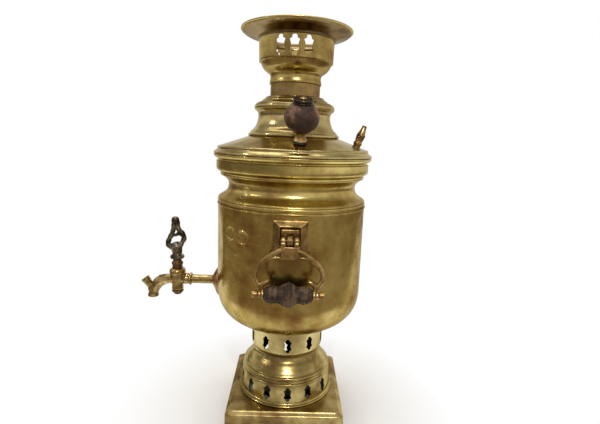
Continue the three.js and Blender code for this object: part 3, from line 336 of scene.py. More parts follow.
def cast_metal(name, light, middle, dark, roughness=0.32, grain=0.3):
    """Cast and filed metal: blotchy colour, dull hollows and a soft grain left by the sand mould."""
    made, tree, shader, where = new_material(name)
    blotches = add(tree, "ShaderNodeTexNoise", Vector=where, Scale=per_mm(9), Detail=5.0, Roughness=0.6)
    sand = add(tree, "ShaderNodeTexNoise", Vector=where, Scale=per_mm(2.5), Detail=4.0)
    point = add(tree, "ShaderNodeNewGeometry").outputs["Pointiness"]
    worn = add(tree, "ShaderNodeMapRange", Value=point, From_Min=0.44, From_Max=0.56,
               To_Min=-0.16, To_Max=0.16)
    tone = add(tree, "ShaderNodeMath", i0=blotches, i1=worn)
    colour = add(tree, "ShaderNodeValToRGB", stops=((0.3, dark), (0.5, middle), (0.74, light)), Fac=tone)
    rough = add(tree, "ShaderNodeMapRange", Value=tone, From_Min=0.3, From_Max=0.7,
                To_Min=roughness + 0.18, To_Max=roughness)
    bump = add(tree, "ShaderNodeBump", Height=sand, Strength=grain, Distance=0.25 * MM)
    fill(tree, shader, Base_Color=colour, Metallic=1.0, Roughness=rough, Normal=bump)
    return made


# %% [markdown]
# ### Turned hardwood
#
# The grips and knobs are a dark, dry hardwood whose varnish has mostly gone. Grain runs in lines
# about 2 mm wide, so the noise is drawn out along them, and the same lines open slightly in the
# bump. The marks of the turning tool run the other way, round the piece.

# %% Turned wood


def turned_wood(name, light, middle, dark, along, across, turning=0.5, tilt=0.0):
    """Dry dark wood: grain lines, the turning marks that cross them, and broad bands of tone. along
    and across shrink the noise on the axes that the grain and the marks are drawn out on. turning
    is how strongly the marks show in the colour, and tilt turns the grain about Y."""
    made, tree, shader, where = new_material(name)
    leaning = add(tree, "ShaderNodeVectorRotate", {"rotation_type": "Y_AXIS"}, Vector=where, Angle=tilt)
    drawn = add(tree, "ShaderNodeMapping", Vector=leaning, Scale=along)
    grain = add(tree, "ShaderNodeTexNoise", Vector=drawn, Scale=per_mm(2.2), Detail=3.0, Roughness=0.5)
    crossing = add(tree, "ShaderNodeMapping", Vector=where, Scale=across)
    marks = add(tree, "ShaderNodeTexNoise", Vector=crossing, Scale=per_mm(2.6), Detail=3.0)
    bands = add(tree, "ShaderNodeTexNoise", Vector=where, Scale=per_mm(14), Detail=3.0)
    tone = add(tree, "ShaderNodeMath", {"operation": "MULTIPLY_ADD"}, i0=grain, i1=0.4, i2=bands)
    tone = add(tree, "ShaderNodeMath", {"operation": "MULTIPLY_ADD"}, i0=marks, i1=turning, i2=tone)
    mean = 0.7 + turning / 2
    stops = ((mean - 0.26, dark), (mean, middle), (mean + 0.2, light))
    colour = add(tree, "ShaderNodeValToRGB", stops=stops, Fac=tone)
    bump = add(tree, "ShaderNodeBump", Height=grain, Strength=0.25, Distance=0.15 * MM)
    bump = add(tree, "ShaderNodeBump", Height=marks, Strength=0.25, Distance=0.2 * MM, Normal=bump)
    fill(tree, shader, Base_Color=colour, Roughness=0.55, Specular_IOR_Level=0.25, Normal=bump)
    return made


# %% [markdown]
# ### Burnt iron and pressed fibre
#
# The grate's iron has been through many fires and the washers are pressed from fibre: neither has a
# polish. Two close tones in blotches of about 3 mm and a fine tooth in the bump give a dull face.

# %% Dull surfaces


def matt(name, light, dark, roughness, metallic=0.0):
    """A plain dull surface: two close tones in small blotches, with a fine tooth."""
    made, tree, shader, where = new_material(name)
    blotches = add(tree, "ShaderNodeTexNoise", Vector=where, Scale=per_mm(3), Detail=5.0)
    colour = add(tree, "ShaderNodeValToRGB", stops=((0.35, dark), (0.65, light)), Fac=blotches)
    bump = add(tree, "ShaderNodeBump", Height=blotches, Strength=0.3, Distance=0.2 * MM)
    fill(tree, shader, Base_Color=colour, Metallic=metallic, Roughness=roughness, Normal=bump)
    return made


# %% [markdown]
# ### Wear, ash and painted light
#
# Use leaves its marks in places: red brass where the plug sits in hot water, a bright edge where
# hands take hold, and ash under the grate. The bright edge also carries a painted highlight. Behind
# each handle the body carries painted shade: the handle's shadow and reflection, painted brown.
# Each could be painted on by hand. Here each is a share of another colour, worked out from the
# place on the part, and laid over a finish that is already there.

# %% Wear, ash and painted light


def lay_over(tree, shader, share, colour):
    """Mixes a finish's base colour with another colour, by a share that can vary from place to place."""
    old = shader.inputs["Base Color"].links[0].from_socket
    mixed = add(tree, "ShaderNodeMix", {"data_type": "RGBA"}, i0=share, i6=old, i7=colour)
    fill(tree, shader, Base_Color=mixed)


def redden_below(made, height, colour):
    """Below a height the brass is copper red, where hot water has drawn out its zinc."""
    tree, shader, where = opened(made)
    split = add(tree, "ShaderNodeSeparateXYZ", Vector=where)
    share = add(tree, "ShaderNodeMapRange", Value=split.outputs["Z"], From_Min=(height + 1) * MM,
                From_Max=(height - 1) * MM, To_Max=0.8)
    lay_over(tree, shader, share, linear(colour))


def ash_ring(made, inner, outer, height, colour):
    """Dull ash lies on the metal between two radii and above a height, near black towards the axis."""
    tree, shader, where = opened(made)
    split = add(tree, "ShaderNodeSeparateXYZ", Vector=where)
    out = from_axis(tree, where, "LENGTH")
    near = add(tree, "ShaderNodeMapRange", Value=out, From_Min=(outer + 1) * MM, From_Max=(outer - 1) * MM)
    step = add(tree, "ShaderNodeMapRange", Value=out, From_Min=(inner - 4) * MM, From_Max=(inner + 4) * MM)
    tone = add(tree, "ShaderNodeValToRGB", stops=((0.25, "#070605"), (0.75, colour)), Fac=step)
    above = add(tree, "ShaderNodeMapRange", Value=split.outputs["Z"], From_Min=height * MM,
                From_Max=(height + 1) * MM)
    share = add(tree, "ShaderNodeMath", {"operation": "MULTIPLY"}, i0=near, i1=above)
    lay_over(tree, shader, share, tone)
    bare = add(tree, "ShaderNodeMapRange", Value=share, To_Min=1.0, To_Max=0.0)
    fill(tree, shader, Metallic=bare, Specular_IOR_Level=bare)


def painted_handle_shade(made, height, half_width, half_height, colour):
    """Painted shade on the front and back walls: the handle's shadow and reflection, painted brown. Its
    share falls off from the middle of an ellipse in X and Z to nothing at its edge."""
    tree, shader, where = opened(made)
    middle = (0.0, 0.0, height * MM)
    shrink = (1 / (half_width * MM), 0.0, 1 / (half_height * MM))
    away = add(tree, "ShaderNodeVectorMath", {"operation": "SUBTRACT"}, i0=where, i1=middle)
    away = add(tree, "ShaderNodeVectorMath", {"operation": "MULTIPLY"}, i0=away, i1=shrink)
    far = add(tree, "ShaderNodeVectorMath", {"operation": "LENGTH"}, i0=away)
    share = add(tree, "ShaderNodeMapRange", Value=far, From_Min=0.2, To_Min=0.7, To_Max=0.0)
    lay_over(tree, shader, share, linear(colour))


def rubbed_edge_and_painted_highlight(made, radius, colour):
    """Beyond a radius from the axis hands and cloths have rubbed the metal bright. The same lighter
    colour is also a painted highlight along the edge.
    """
    tree, shader, where = opened(made)
    out = from_axis(tree, where, "LENGTH")
    share = add(tree, "ShaderNodeMapRange", Value=out, From_Min=(radius - 0.5) * MM,
                From_Max=(radius + 0.5) * MM, To_Max=0.9)
    lay_over(tree, shader, share, linear(colour))


# %% [markdown]
# ### The finishes of this samovar
#
# Body, mouth ring and lid are the best kept brass and mirror the room softly. Behind each handle
# the body carries a brown painted shadow and reflection of the handle. The walls of the base are
# sooted inside. The dish is smoked brown, with an edge rubbed bright and a painted highlight on it.
# Castings are duller than spun parts: the tap is filed brass, its key has an almost black tarnish in
# the hollows, leaf and vent have gone copper red, and the handles are bronze. The knobs' caps are
# blackened pewter with a blurred shine; the hinge pins take the same near-black finish as painted
# shade in the hinge's gaps. The grate is burnt iron and the washers are pressed fibre, both quite dull.

# %% The finishes of this samovar
BODY = spun_brass("spun_brass_body", "#deca86", "#bea560", "#966f40", dent=0.2)
RING = spun_brass("spun_brass_mouth", "#e4d38c", "#cab46e", "#a0814e", roughness=0.19, dent=0.05)
LID = spun_brass("spun_brass_lid", "#d7c68f", "#b9a571", "#95784e", roughness=0.17, dent=0.05)
CROWN = spun_brass("spun_brass_crown", "#d6c27e", "#b39c5e", "#866c3f", roughness=0.16, dent=0.2)
DISH = spun_brass("smoked_dish_brass", "#a5906b", "#8a7451", "#69543a", roughness=0.22, dent=0.2)
BASE = spun_brass("sooted_base_brass", "#d6c486", "#ab9860", "#7a633d", roughness=0.15, soot_and_shade=True, dent=0.08)
NECK = spun_brass("sooted_neck_brass", "#e6d79b", "#c8b67b", "#998657", roughness=0.2, soot_and_shade=True)
PLATE = spun_brass("stained_plate_brass", "#cbb67c", "#998151", "#654e2f", roughness=0.28, lathe=0, dent=0.1)
CHIMNEY = spun_brass("drawn_chimney_brass", "#ccb47e", "#a3885a", "#785a38")
TAP = cast_metal("cast_tap_brass", "#dac690", "#a78e5b", "#6f5836", roughness=0.17, grain=0.1)
KEY = cast_metal("tarnished_key_brass", "#ada28c", "#4e473b", "#1a1713", roughness=0.34)
LEAF = cast_metal("copper_red_leaf", "#d0a56e", "#926843", "#4b3220")
BRONZE = cast_metal("cast_handle_bronze", "#c9aa74", "#957848", "#4e3b23", roughness=0.3)
NUT = cast_metal("bright_end_nut_brass", "#d6bb86", "#a3824f", "#66492c", roughness=0.3)
VENT = cast_metal("red_vent_brass", "#caa874", "#8f7048", "#4a3824", roughness=0.24)
# the hinge pins also take this finish, as painted shade in the hinge's gaps
CAP = cast_metal("blackened_pewter_and_pin_shade", "#5c574a", "#332f28", "#191713", roughness=0.3)
DULL_BRASS = cast_metal("dull_washer_brass", "#8d7a58", "#5c4d38", "#312920", roughness=0.35)
GRIP = turned_wood("turned_grip_wood", "#665040", "#44362b", "#251b15", along=(0.12, 1, 1),
                   across=(1, 0.06, 0.06))
BALL = turned_wood("turned_knob_wood", "#93705a", "#4f3a2d", "#2b1e17", along=(0.14, 1, 1),
                   across=(0.06, 0.06, 1), turning=0.1, tilt=-0.6)
IRON = matt("burnt_cast_iron", "#4a4340", "#282423", 0.75, metallic=0.6)
FIBRE = matt("pressed_fibre_washer", "#34383d", "#1c1f22", 0.8)
redden_below(KEY, height=196.5, colour="#765439")
# partly real wear, partly painted highlight: the dish's rim is painted lighter
rubbed_edge_and_painted_highlight(DISH, radius=62.6, colour="#dcc886")
# painted shade: the handle's shadow and reflection on the body, painted brown behind each handle
painted_handle_shade(BODY, height=218.0, half_width=44.0, half_height=40.0, colour="#6b532c")
ash_ring(PLATE, inner=43.0, outer=54.0, height=31.0, colour="#92969c")

CAD_FINISH = {
    "foot_brass": PLATE, "plate_brass": PLATE, "drum_brass": BASE, "neck_brass": NECK,
    "body_brass": BODY, "rim_brass": BODY, "lid_brass": LID, "collar_brass": LID,
    "crown_brass": CROWN, "dish_brass": CROWN, "chimney_brass": CHIMNEY, "grate_iron": IRON,
    "tap_brass": TAP, "key_brass": KEY, "leaf_bronze": LEAF, "vent_bronze": VENT,
    "hinge_bronze": BRONZE, "bail_bronze": BRONZE, "end_nut_bronze": BRONZE, "pin_brass": TAP,
    "stem_bronze": BRONZE, "screw_bronze": BRONZE, "cap_metal": CAP, "rod_metal": DULL_BRASS,
    "grip_wood": GRIP, "knob_wood": BALL, "washer_fibre": FIBRE,
}
slot_of = {row["node"]: row["material_slot"] for row in frame["record"]["subparts"]}
for node_name, node in frame["nodes"].items():
    node.data.materials.clear()
    node.data.materials.append(CAD_FINISH[slot_of[node_name]])
print(len(slot_of), "nodes take their finishes from", len(CAD_FINISH), "slots")

# %% [markdown]
# ## Spun body, mouth ring, lid and collar
#
# These are the big spun parts. Their outlines are read from the silhouette of the real one: a
# cylinder with a full bowl below, a cove under a plain band, a stepped lid and a waisted collar.
# Solid forms would do for the outside, but each has its inner face too, so that the real wall
# shows when the lid is lifted.

# %% Body
WALL = 1.4
BODY_LOW, BODY_TOP = low_of["water_body"], top_of["water_body"]
BOWL_TOP, BODY_R, NECK_R, TUBE_R = 170.0, 89.0, 45.3, 38.8
FULLNESS = 2.25


def bowl_line(steps=30):
    """A quarter of a superellipse from the neck out to the body's wall."""
    a = np.linspace(math.pi / 2, 0, steps + 1)
    out, down = np.cos(a) ** (2 / FULLNESS), np.abs(np.sin(a)) ** (2 / FULLNESS)
    return np.stack([NECK_R + (BODY_R - NECK_R) * out, BOWL_TOP - (BOWL_TOP - BODY_LOW) * down], 1)


body_line = np.concatenate([
    [[TUBE_R, BODY_LOW]], bowl_line(), [[BODY_R, h] for h in (200, 240, 268.6, 272.6)],
    soften([[BODY_R, 272.8], [89.7, 273.1], [90.1, 274.0], [89.8, 274.9], [88.6, BODY_TOP]]),
])
piece("spun_body", turned(sheet_loop(body_line, WALL), angles=192), "stand", BODY,
      ["water_body"])

# %% Mouth ring
shoulder_bead = [
    [88.4, 275.3], [88.3, 276.2], [89.0, 276.7], [89.5, 278.0], [89.1, 279.4], [88.2, 279.9],
]
cove = [
    [88.1, 280.0], [88.6, 280.4], [88.6, 281.2], [87.5, 282.4], [84.8, 284.0], [81.8, 285.9],
    [79.3, 288.1], [77.5, 290.8], [76.6, 293.8], [76.4, 296.8], [76.9, 299.6], [78.7, 302.4],
    [81.7, 305.0], [84.3, 306.6],
]
cove_bead = [[84.4, 306.7], [85.9, 307.0], [86.4, 308.8], [85.9, 310.6], [85.3, 310.9]]
band = [[85.4, 311.0], [87.6, 311.8], [90.0, 313.2], [91.0, 315.0], [91.1, 318.0], [91.0, 323.8]]
recess = [[91.0, 323.9], [89.6, 324.4], [89.0, 325.4], [89.3, 326.4], [91.3, 326.9]]
roll = [[91.4, 327.0], [92.6, 327.8], [93.7, 329.2], [94.3, 330.6], [94.1, 331.6], [92.6, 331.8]]
ring_line = [soften(part) for part in (shoulder_bead, cove, cove_bead, band, recess, roll)]
mouth = [
    [86.6, 331.8], [86.6, 329.4], [87.7, 327.5], [87.7, 314.6], [83.6, 309.0], [75.2, 299.5],
    [75.2, 294.5], [80.0, 286.0], [86.2, 279.0], [87.4, 275.3],
]
ring_loop = np.concatenate([*ring_line, soften(mouth, 1)])
piece("spun_mouth_ring", turned(ring_loop, angles=192), "stand", RING, ["rim_ring"])

# %% Lid
LID_HOLE_R, CONE_R = 40.2, 89.1
CONE_LOW, CONE_TOP = 340.3, top_of["lid"]
lid_edge = [[92.4, 332.1], [94.2, 332.3], [94.3, 333.6], [93.6, 334.8], [92.4, 335.2]]
lid_step = [
    [92.3, 335.3], [91.0, 336.4], [89.9, 337.2], [89.9, 338.3], [90.1, 339.4], [89.5, CONE_LOW],
    [88.4, 340.9], [86.0, 341.5],
]
lid_cone = [[84.0, 342.2], [72.0, 346.5], [58.0, 351.4], [48.0, 355.0], [LID_HOLE_R, CONE_TOP]]
lid_under = [
    [LID_HOLE_R, 356.3], [60, 349.2], [84.7, 340.4], [84.7, 322.2], [86.1, 322.2], [86.1, 332.1],
]
lid_loop = np.concatenate([soften(lid_edge), soften(lid_step), lid_cone, lid_under])
piece("spun_lid", turned(lid_loop, angles=192), "lid", LID, ["lid"])

# %% Collar
lip = [[53.4, 353.3], [54.2, 353.6], [54.3, 355.2], [53.7, 356.4], [52.4, 357.0]]
waist = [
    [52.3, 357.1], [50.8, 359.5], [48.0, 361.8], [46.0, 364.4], [44.6, 367.4], [43.4, 371.2],
    [42.7, 375.4], [42.7, 378.4], [43.3, 380.6], [44.6, 382.4],
]
shoulder = [
    [44.7, 382.5], [46.4, 383.4], [47.5, 385.4], [47.3, 387.8], [46.2, 389.9], [44.2, 391.6],
    [41.8, 392.7], [40.0, 393.1],
]
ledge = [[39.9, 393.2], [38.9, 393.5], [38.7, 394.6], [37.9, 395.3], [36.6, 395.7]]
top = [[36.5, 395.8], [35.4, 396.6], [34.4, 398.2], [33.2, 399.0], [29.8, 399.3]]
collar_line = [soften(part) for part in (lip, waist, shoulder, ledge, top)]
collar_under = [
    [29.7, 397.0], [34.0, 393.4], [40.6, 391.2], [45.2, 387.4], [41.3, 379.0], [41.3, 374.0],
    [44.8, 363.4], [51.6, 356.4], [51.9, 354.2],
]
collar_loop = np.concatenate([*collar_line, soften(collar_under, 1)])
piece("spun_collar", turned(collar_loop, angles=160), "lid", LID, ["lid_collar"])

# %% Chimney and fire tube
tube_outer = [
    [38.4, 118.0], [38.4, 180.0], [37.9, 184.0], [29.8, 246.0], [29.2, 250.0], [29.2, 412.8],
    [27.8, 413.0], [27.8, 421.6], [27.5, 421.8],
]
tube_inner = [
    [26.3, 421.8], [26.3, 412.8], [27.7, 411.0], [27.7, 250.4], [28.4, 246.0], [36.4, 184.0],
    [36.9, 180.0], [36.9, 119.5], [32.9, 119.5], [32.9, 118.0],
]
piece("drawn_fire_tube", turned(tube_outer + tube_inner, angles=96), "stand", CHIMNEY,
      ["fire_tube"])

# %% [markdown]
# ## Pierced walls
#
# Three walls have punched draught holes: a narrow round lobe above and below, two pointed ears, and
# a waist in the middle. Each hole has its own sector of wall. Points of the hole's edge are joined to
# points of the sector's edge by straight lines in angle and height, and the sheet is then bent round
# the wall's radius. The same map at a smaller radius is the inner face, and a strip joins the two.

# %% The punched outline
HOLE_QUARTER = np.array([
    [0.0, 1.0], [0.27, 0.975], [0.45, 0.91], [0.53, 0.82], [0.51, 0.71], [0.6, 0.645],
    [0.86, 0.61], [1.0, 0.53], [0.96, 0.43], [0.86, 0.31], [0.79, 0.19], [0.76, 0.09], [0.75, 0.0],
])
PER_HOLE = len(HOLE_QUARTER) - 1
FRONT = -math.pi / 2


def mirrored(quarter):
    """A closed line, clockwise from its top: its first quarter mirrored twice."""
    right = np.concatenate([quarter, (quarter * [1, -1])[-2::-1]])
    return np.concatenate([right, (right * [-1, 1])[-2:0:-1]])


def sector_edge(width, height):
    """The edge of a hole's sector. Half of each quarter's points lie along its top, half down its side."""
    steps = PER_HOLE // 2 + 1
    top = np.stack([np.linspace(0, width / 2, steps), np.full(steps, height / 2)], 1)
    side = np.stack([np.full(steps, width / 2), np.linspace(height / 2, 0, steps)], 1)
    return mirrored(np.concatenate([top, side[1:]]))


def shell(front, back, edges):
    """Two skins, each in rows of points that close on themselves, and a strip that joins the skins
    along each of the given rows."""
    rows, count = front.shape[:2]
    quads, strip = grid_quads(rows, count), grid_quads(2, count)
    skins = [(front.reshape(-1, 3), quads), (back.reshape(-1, 3), quads[:, ::-1])]
    return skins + [(np.concatenate([front[k], back[k]]), strip) for k in edges]


def pierced_band(radius_at, middles, pitch, low, high, hole, wall, steps=6):
    """Sectors of wall with a hole each. radius_at gives the wall's radius for each height, and hole
    is the hole's width, height and middle. Its edge goes to the sector's edge in equal steps."""
    width, tall, hole_middle = hole
    middle = (high + low) / 2
    mean = radius_at(middle)
    edge = mirrored(HOLE_QUARTER * [width / 2, tall / 2]) + [0, hole_middle - middle]
    share = np.linspace(0, 1, steps + 1)[:, None, None]
    flat = edge * (1 - share) + sector_edge(pitch * mean, high - low) * share
    height = flat[..., 1] + middle
    surfaces = []
    for place in middles:
        angle = place + flat[..., 0] / mean
        skins = [bent(radius_at(height) - inset, angle, height) for inset in (0.0, wall)]
        surfaces += shell(*skins, edges=[0])
    return surfaces


def pierced_wall(radius_at, holes, turn, low, high, hole, wall, lower, upper):
    """A whole wall of equal sectors, with open spun pieces that close it below and above the holes."""
    pitch = TAU / holes
    surfaces = pierced_band(radius_at, turn + np.arange(holes) * pitch, pitch, low, high, hole, wall)
    angles = turn + np.arange(holes * PER_HOLE) * pitch / PER_HOLE
    return joined(*surfaces, *[turned(line, angles, closed=False) for line in (lower, upper)])


# %% Neck
NECK_WALL, NECK_HOLES = 1.3, 10
NECK_LOW, NECK_TOP = low_of["neck_ring"], top_of["neck_ring"]
NECK_TURN = FRONT + math.radians(2.0)
neck_inner = NECK_R - NECK_WALL
low, high = 96.2, 115.4
flare = soften([[41.0, NECK_LOW], [41.9, 88.5], [42.9, 90.2], [44.2, 92.6], [45.1, 94.4], [NECK_R, low]])
lower = np.concatenate([flare[::-1], flare - [NECK_WALL, 0]])
upper = [[NECK_R, high], [NECK_R, NECK_TOP], [neck_inner, NECK_TOP], [neck_inner, high]]


def neck_radius(h):
    """The neck is a plain cylinder."""
    return NECK_R + 0 * h


neck = pierced_wall(neck_radius, NECK_HOLES, NECK_TURN, low, high, (9.2, 17.4, 105.7), NECK_WALL,
                    lower, upper)
piece("pierced_neck", neck, "stand", NECK, ["neck_ring"])

# %% Drum and dome
DRUM_WALL, DRUM_HOLES = 1.4, 14
DRUM_LOW, DRUM_TOP = low_of["base_drum"], top_of["base_drum"]
DRUM_R, DRUM_FOOT, DRUM_LEAN = 58.0, 39.2, 2.0 / 21.0
DRUM_TURN = FRONT + math.radians(3.3)
low, high = 40.2, 58.8


def drum_radius(h):
    """The drum's wall leans in by 2 mm over 21 mm of height."""
    return DRUM_R - (h - DRUM_FOOT) * DRUM_LEAN


low_r, high_r = drum_radius(low), drum_radius(high)
foot_roll = soften([
    [57.0, DRUM_LOW], [59.9, 33.9], [60.5, 34.7], [60.0, 35.6], [59.3, 35.8], [59.7, 36.6],
    [59.4, 38.0], [58.6, 38.9], [DRUM_R, DRUM_FOOT],
])
bead_low = [[56.0, 58.9], [56.3, 59.6], [56.2, 60.8], [55.4, 61.6], [54.6, 61.9]]
bead_high = [
    [54.5, 62.0], [54.0, 63.4], [54.1, 64.6], [54.8, 65.5], [55.1, 67.0], [54.5, 68.4], [53.2, 69.2],
]
dome = [
    [52.9, 69.4], [52.1, 70.4], [51.2, 71.8], [50.0, 73.4], [48.6, 75.2], [47.0, 77.4],
    [45.0, 79.8], [43.0, 81.8], [41.4, 84.0], [40.4, 86.2], [40.2, DRUM_TOP],
]
lower = np.concatenate([
    [[low_r, low]], foot_roll[::-1],
    [[57.0 - DRUM_WALL, DRUM_LOW], [low_r - DRUM_WALL, 39.4], [low_r - DRUM_WALL, low]],
])
upper = np.concatenate([
    [[high_r, high]], *[soften(part) for part in (bead_low, bead_high, dome)],
    [[38.8, DRUM_TOP], [39.8, 83.8], [43.4, 79.6], [48.4, 72.6], [51.4, 66.4], [54.0, 60.6],
     [high_r - DRUM_WALL, high]],
])
drum = pierced_wall(drum_radius, DRUM_HOLES, DRUM_TURN, low, high, (9.4, 16.8, 49.6), DRUM_WALL,
                    lower, upper)
piece("pierced_drum", drum, "stand", BASE, ["base_drum"])

# %% Crown cup
CUP_WALL, CUP_R, CUP_OPENING = 1.3, 43.1, 0.6 / 23.3
GROUPS, PER_GROUP = 3, 3
PITCH = math.radians(20.8)
CUP_TURN = FRONT - math.radians(3)
GAP, GAP_COLUMNS = TAU / GROUPS - PER_GROUP * PITCH, 33
cup_low, cup_high, cup_end = 438.0, 461.3, 461.5


def cup_radius(h):
    """The cup's wall opens slightly towards the dish."""
    return CUP_R + (h - cup_low) * CUP_OPENING


def plain_band(radius_at, start, end, columns, low, high, wall):
    """A stretch of the same wall without holes, as an outer and an inner grid. Its rows meet the
    points down a sector's side."""
    a = np.linspace(start, end, columns + 1)
    h = np.linspace(high, low, PER_HOLE + 1)[:, None]
    quads = grid_quads(len(h), len(a), wrap_columns=False)
    return [(bent(radius_at(h) - inset, a, h).reshape(-1, 3), quads) for inset in (0.0, wall)]


sleeve = [
    [29.6, 413.1], [30.4, 413.25], [30.55, 414.4], [30.4, 415.6], [30.0, 417.2], [29.7, 418.6],
    [29.6, 420.4], [29.6, 422.4],
]
cup_bowl = [
    [29.9, 422.8], [30.8, 425.0], [34.2, 427.0], [37.2, 429.4], [39.2, 432.2], [40.5, 434.8],
    [41.2, 436.6], [41.6, 437.1], [42.7, 437.3], [43.0, 437.6],
]
cup_outer = np.concatenate([soften(sleeve, 1), soften(cup_bowl), [[CUP_R, cup_low]]])
cup_inner = np.array([
    [CUP_R - CUP_WALL, cup_low], [40.9, 437.6], [38.6, 434.6], [36.0, 430.8], [31.6, 427.6],
    [28.3, 424.6], [28.3, 413.1],
])
cup_below = np.concatenate([cup_outer[::-1], cup_inner[::-1]])
rim_r = cup_radius(cup_high)
cup_top = [[rim_r, cup_high], [rim_r, cup_end], [rim_r - CUP_WALL, cup_end], [rim_r - CUP_WALL, cup_high]]
middles, ring_angles, surfaces = [], [], []
for group in range(GROUPS):
    start = CUP_TURN + group * TAU / GROUPS - PITCH * PER_GROUP / 2
    end = start + PITCH * PER_GROUP
    middles += list(start + (np.arange(PER_GROUP) + 0.5) * PITCH)
    surfaces += plain_band(cup_radius, end, end + GAP, GAP_COLUMNS, cup_low, cup_high, CUP_WALL)
    ring_angles += list(start + np.arange(PER_GROUP * PER_HOLE) * PITCH / PER_HOLE)
    ring_angles += list(end + np.arange(GAP_COLUMNS) * GAP / GAP_COLUMNS)
surfaces += pierced_band(cup_radius, middles, PITCH, cup_low, cup_high, (10.9, 22.2, 449.7), CUP_WALL)
surfaces += [turned(line, ring_angles, closed=False) for line in (cup_below, cup_top)]
piece("pierced_crown_cup", joined(*surfaces), "crown", CROWN, ["crown_cup"])

# %% Crown dish
dish_foot = [[43.9, 461.8], [44.8, 462.0], [45.2, 462.9], [45.0, 463.9]]
dish_under = [
    [45.2, 464.2], [48.0, 465.2], [52.0, 466.4], [56.0, 467.4], [59.4, 468.4], [61.6, 469.6],
    [62.8, 470.8], [63.3, 471.6],
]
dish_roll = [[63.5, 471.5], [64.4, 471.8], [64.7, 472.7], [64.1, 473.5], [62.8, 473.5], [61.9, 472.8]]
dish_top = [
    [61.7, 472.6], [60.2, 471.2], [57.4, 470.0], [54.0, 469.0], [50.0, 468.0], [46.4, 466.8],
    [43.2, 465.0], [40.9, 462.8], [40.6, 461.0], [41.9, 461.0], [42.0, 461.8],
]
dish_loop = [soften(dish_foot, 1), soften(dish_under), soften(dish_roll), soften(dish_top, 1)]
piece("spun_crown_dish", turned(np.concatenate(dish_loop), angles=160), "crown", DISH,
      ["crown_dish"])

# %% [markdown]
# ## Foot plate and feet
#
# The plate is pressed from one sheet: a square with rounded corners, a bevel round its top and a
# round draught hole under the drum. Four small turned feet stand under its corners. The plate is
# lofted as rings. Each ring mixes a rounded square with a circle, so the flat top can run from the
# square edge to the round hole without a seam.

# %% Foot plate
PLATE_HOLE_R, PLATE_ANGLES = 36.0, 192


def square_ring(half, corner, height, round_share=0.0):
    """A rounded square seen from its middle: in each direction the distance to the rounded edge,
    mixed with a circle as wide as the hole by round_share."""
    a = (np.arange(PLATE_ANGLES) + 0.5) * TAU / PLATE_ANGLES
    c, s = np.abs(np.cos(a)), np.abs(np.sin(a))
    straight = half / np.maximum(c, s)
    inner = half - corner
    along = inner * (c + s)
    arc = along + np.sqrt(np.maximum(along**2 - (2 * inner**2 - corner**2), 0))
    r = np.where(np.minimum(c, s) * straight > inner, arc, straight)
    return bent(r * (1 - round_share) + PLATE_HOLE_R * round_share, a, height)


rings = [square_ring(*row) for row in (
    (69.4, 2.6, 14.0), (70.0, 3.0, 14.6), (70.0, 3.0, 28.8), (69.9, 3.0, 29.5), (69.5, 2.9, 30.1),
    (68.9, 2.9, 30.5), (66.2, 2.6, 32.3), (65.8, 2.6, 32.7), (65.6, 2.5, 33.1), (65.2, 2.4, 33.4),
    (64.6, 2.4, 33.5), (64.8, 2.4, 33.5, 0.5), (64.8, 2.4, 33.5, 1.0), (64.0, 2.4, 31.2, 1.0),
    (64.0, 2.4, 31.2, 0.5), (64.0, 2.4, 31.2), (67.5, 1.6, 28.0), (67.6, 1.6, 14.6), (68.0, 1.8, 14.0),
)]
plate = np.concatenate(rings), grid_quads(len(rings), PLATE_ANGLES, wrap_rows=True)
piece("pressed_foot_plate", plate, "stand", PLATE, ["base_plate"], PRESSED_SHARP)

# %% Feet
FOOT_REACH = 55.0
foot_line = soften([
    [6.0, 0.0], [7.6, 0.2], [9.6, 1.6], [10.4, 4.0], [10.3, 6.6], [9.0, 8.6], [8.0, 9.8],
    [8.3, 11.4], [9.6, 12.8], [9.7, 13.7],
])
for side_y, y in (("front", -FOOT_REACH), ("back", FOOT_REACH)):
    for side_x, x in (("left", -FOOT_REACH), ("right", FOOT_REACH)):
        name = f"foot_{side_y}_{side_x}"
        foot = shifted(solid_turned(foot_line, angles=40), x, y, 0)
        piece(f"turned_{name}", foot, "stand", PLATE, [name])

# %% [markdown]
# ## Blank seals
#
# The wall carries three small pressed seals and the shoulder one more. They are left blank: a
# raised ring round a plain field. Each is a polar grid bent onto the wall, with its height as a
# function of the distance from its middle, so it catches the light as pressed metal does.

# %% Seals


def seal_relief(d):
    """Height of the seal, in millimetres, at a share d of its radius: two rings, each a bell curve,
    and a low dome inside them. The last factor lets it run out at the edge."""
    ring = np.exp(-(((d - 0.84) / 0.07) ** 2)) * 0.34
    inner = np.exp(-(((d - 0.62) / 0.05) ** 2)) * 0.16
    field = 0.18 * (1 - np.clip(d / 0.5, 0, 1) ** 2)
    return (ring + inner + field + 0.08) * np.clip((1 - d) / 0.06, 0, 1)


def seal(radius_at, degrees, height, radius, relief, around=72, out=28):
    """A polar grid: each point is an angle and a height off the wall, lifted by the relief."""
    d = np.linspace(0, 1, out + 1)[:, None]
    t = np.arange(around) * TAU / around
    a = math.radians(degrees) + d * radius * np.cos(t) / radius_at(height)
    h = height + d * radius * np.sin(t)
    front = bent(radius_at(h) + 0.02 + seal_relief(d) * relief, a, h)
    return shell(front, bent(radius_at(h) - 0.25, a, h), edges=[-1])


def body_wall(h):
    """The body's plain wall."""
    return BODY_R + 0 * h


def shoulder_wall(h):
    """The cove's lower face, read from the same outline as the ring."""
    return np.interp(h, [p[1] for p in cove], [p[0] for p in cove])


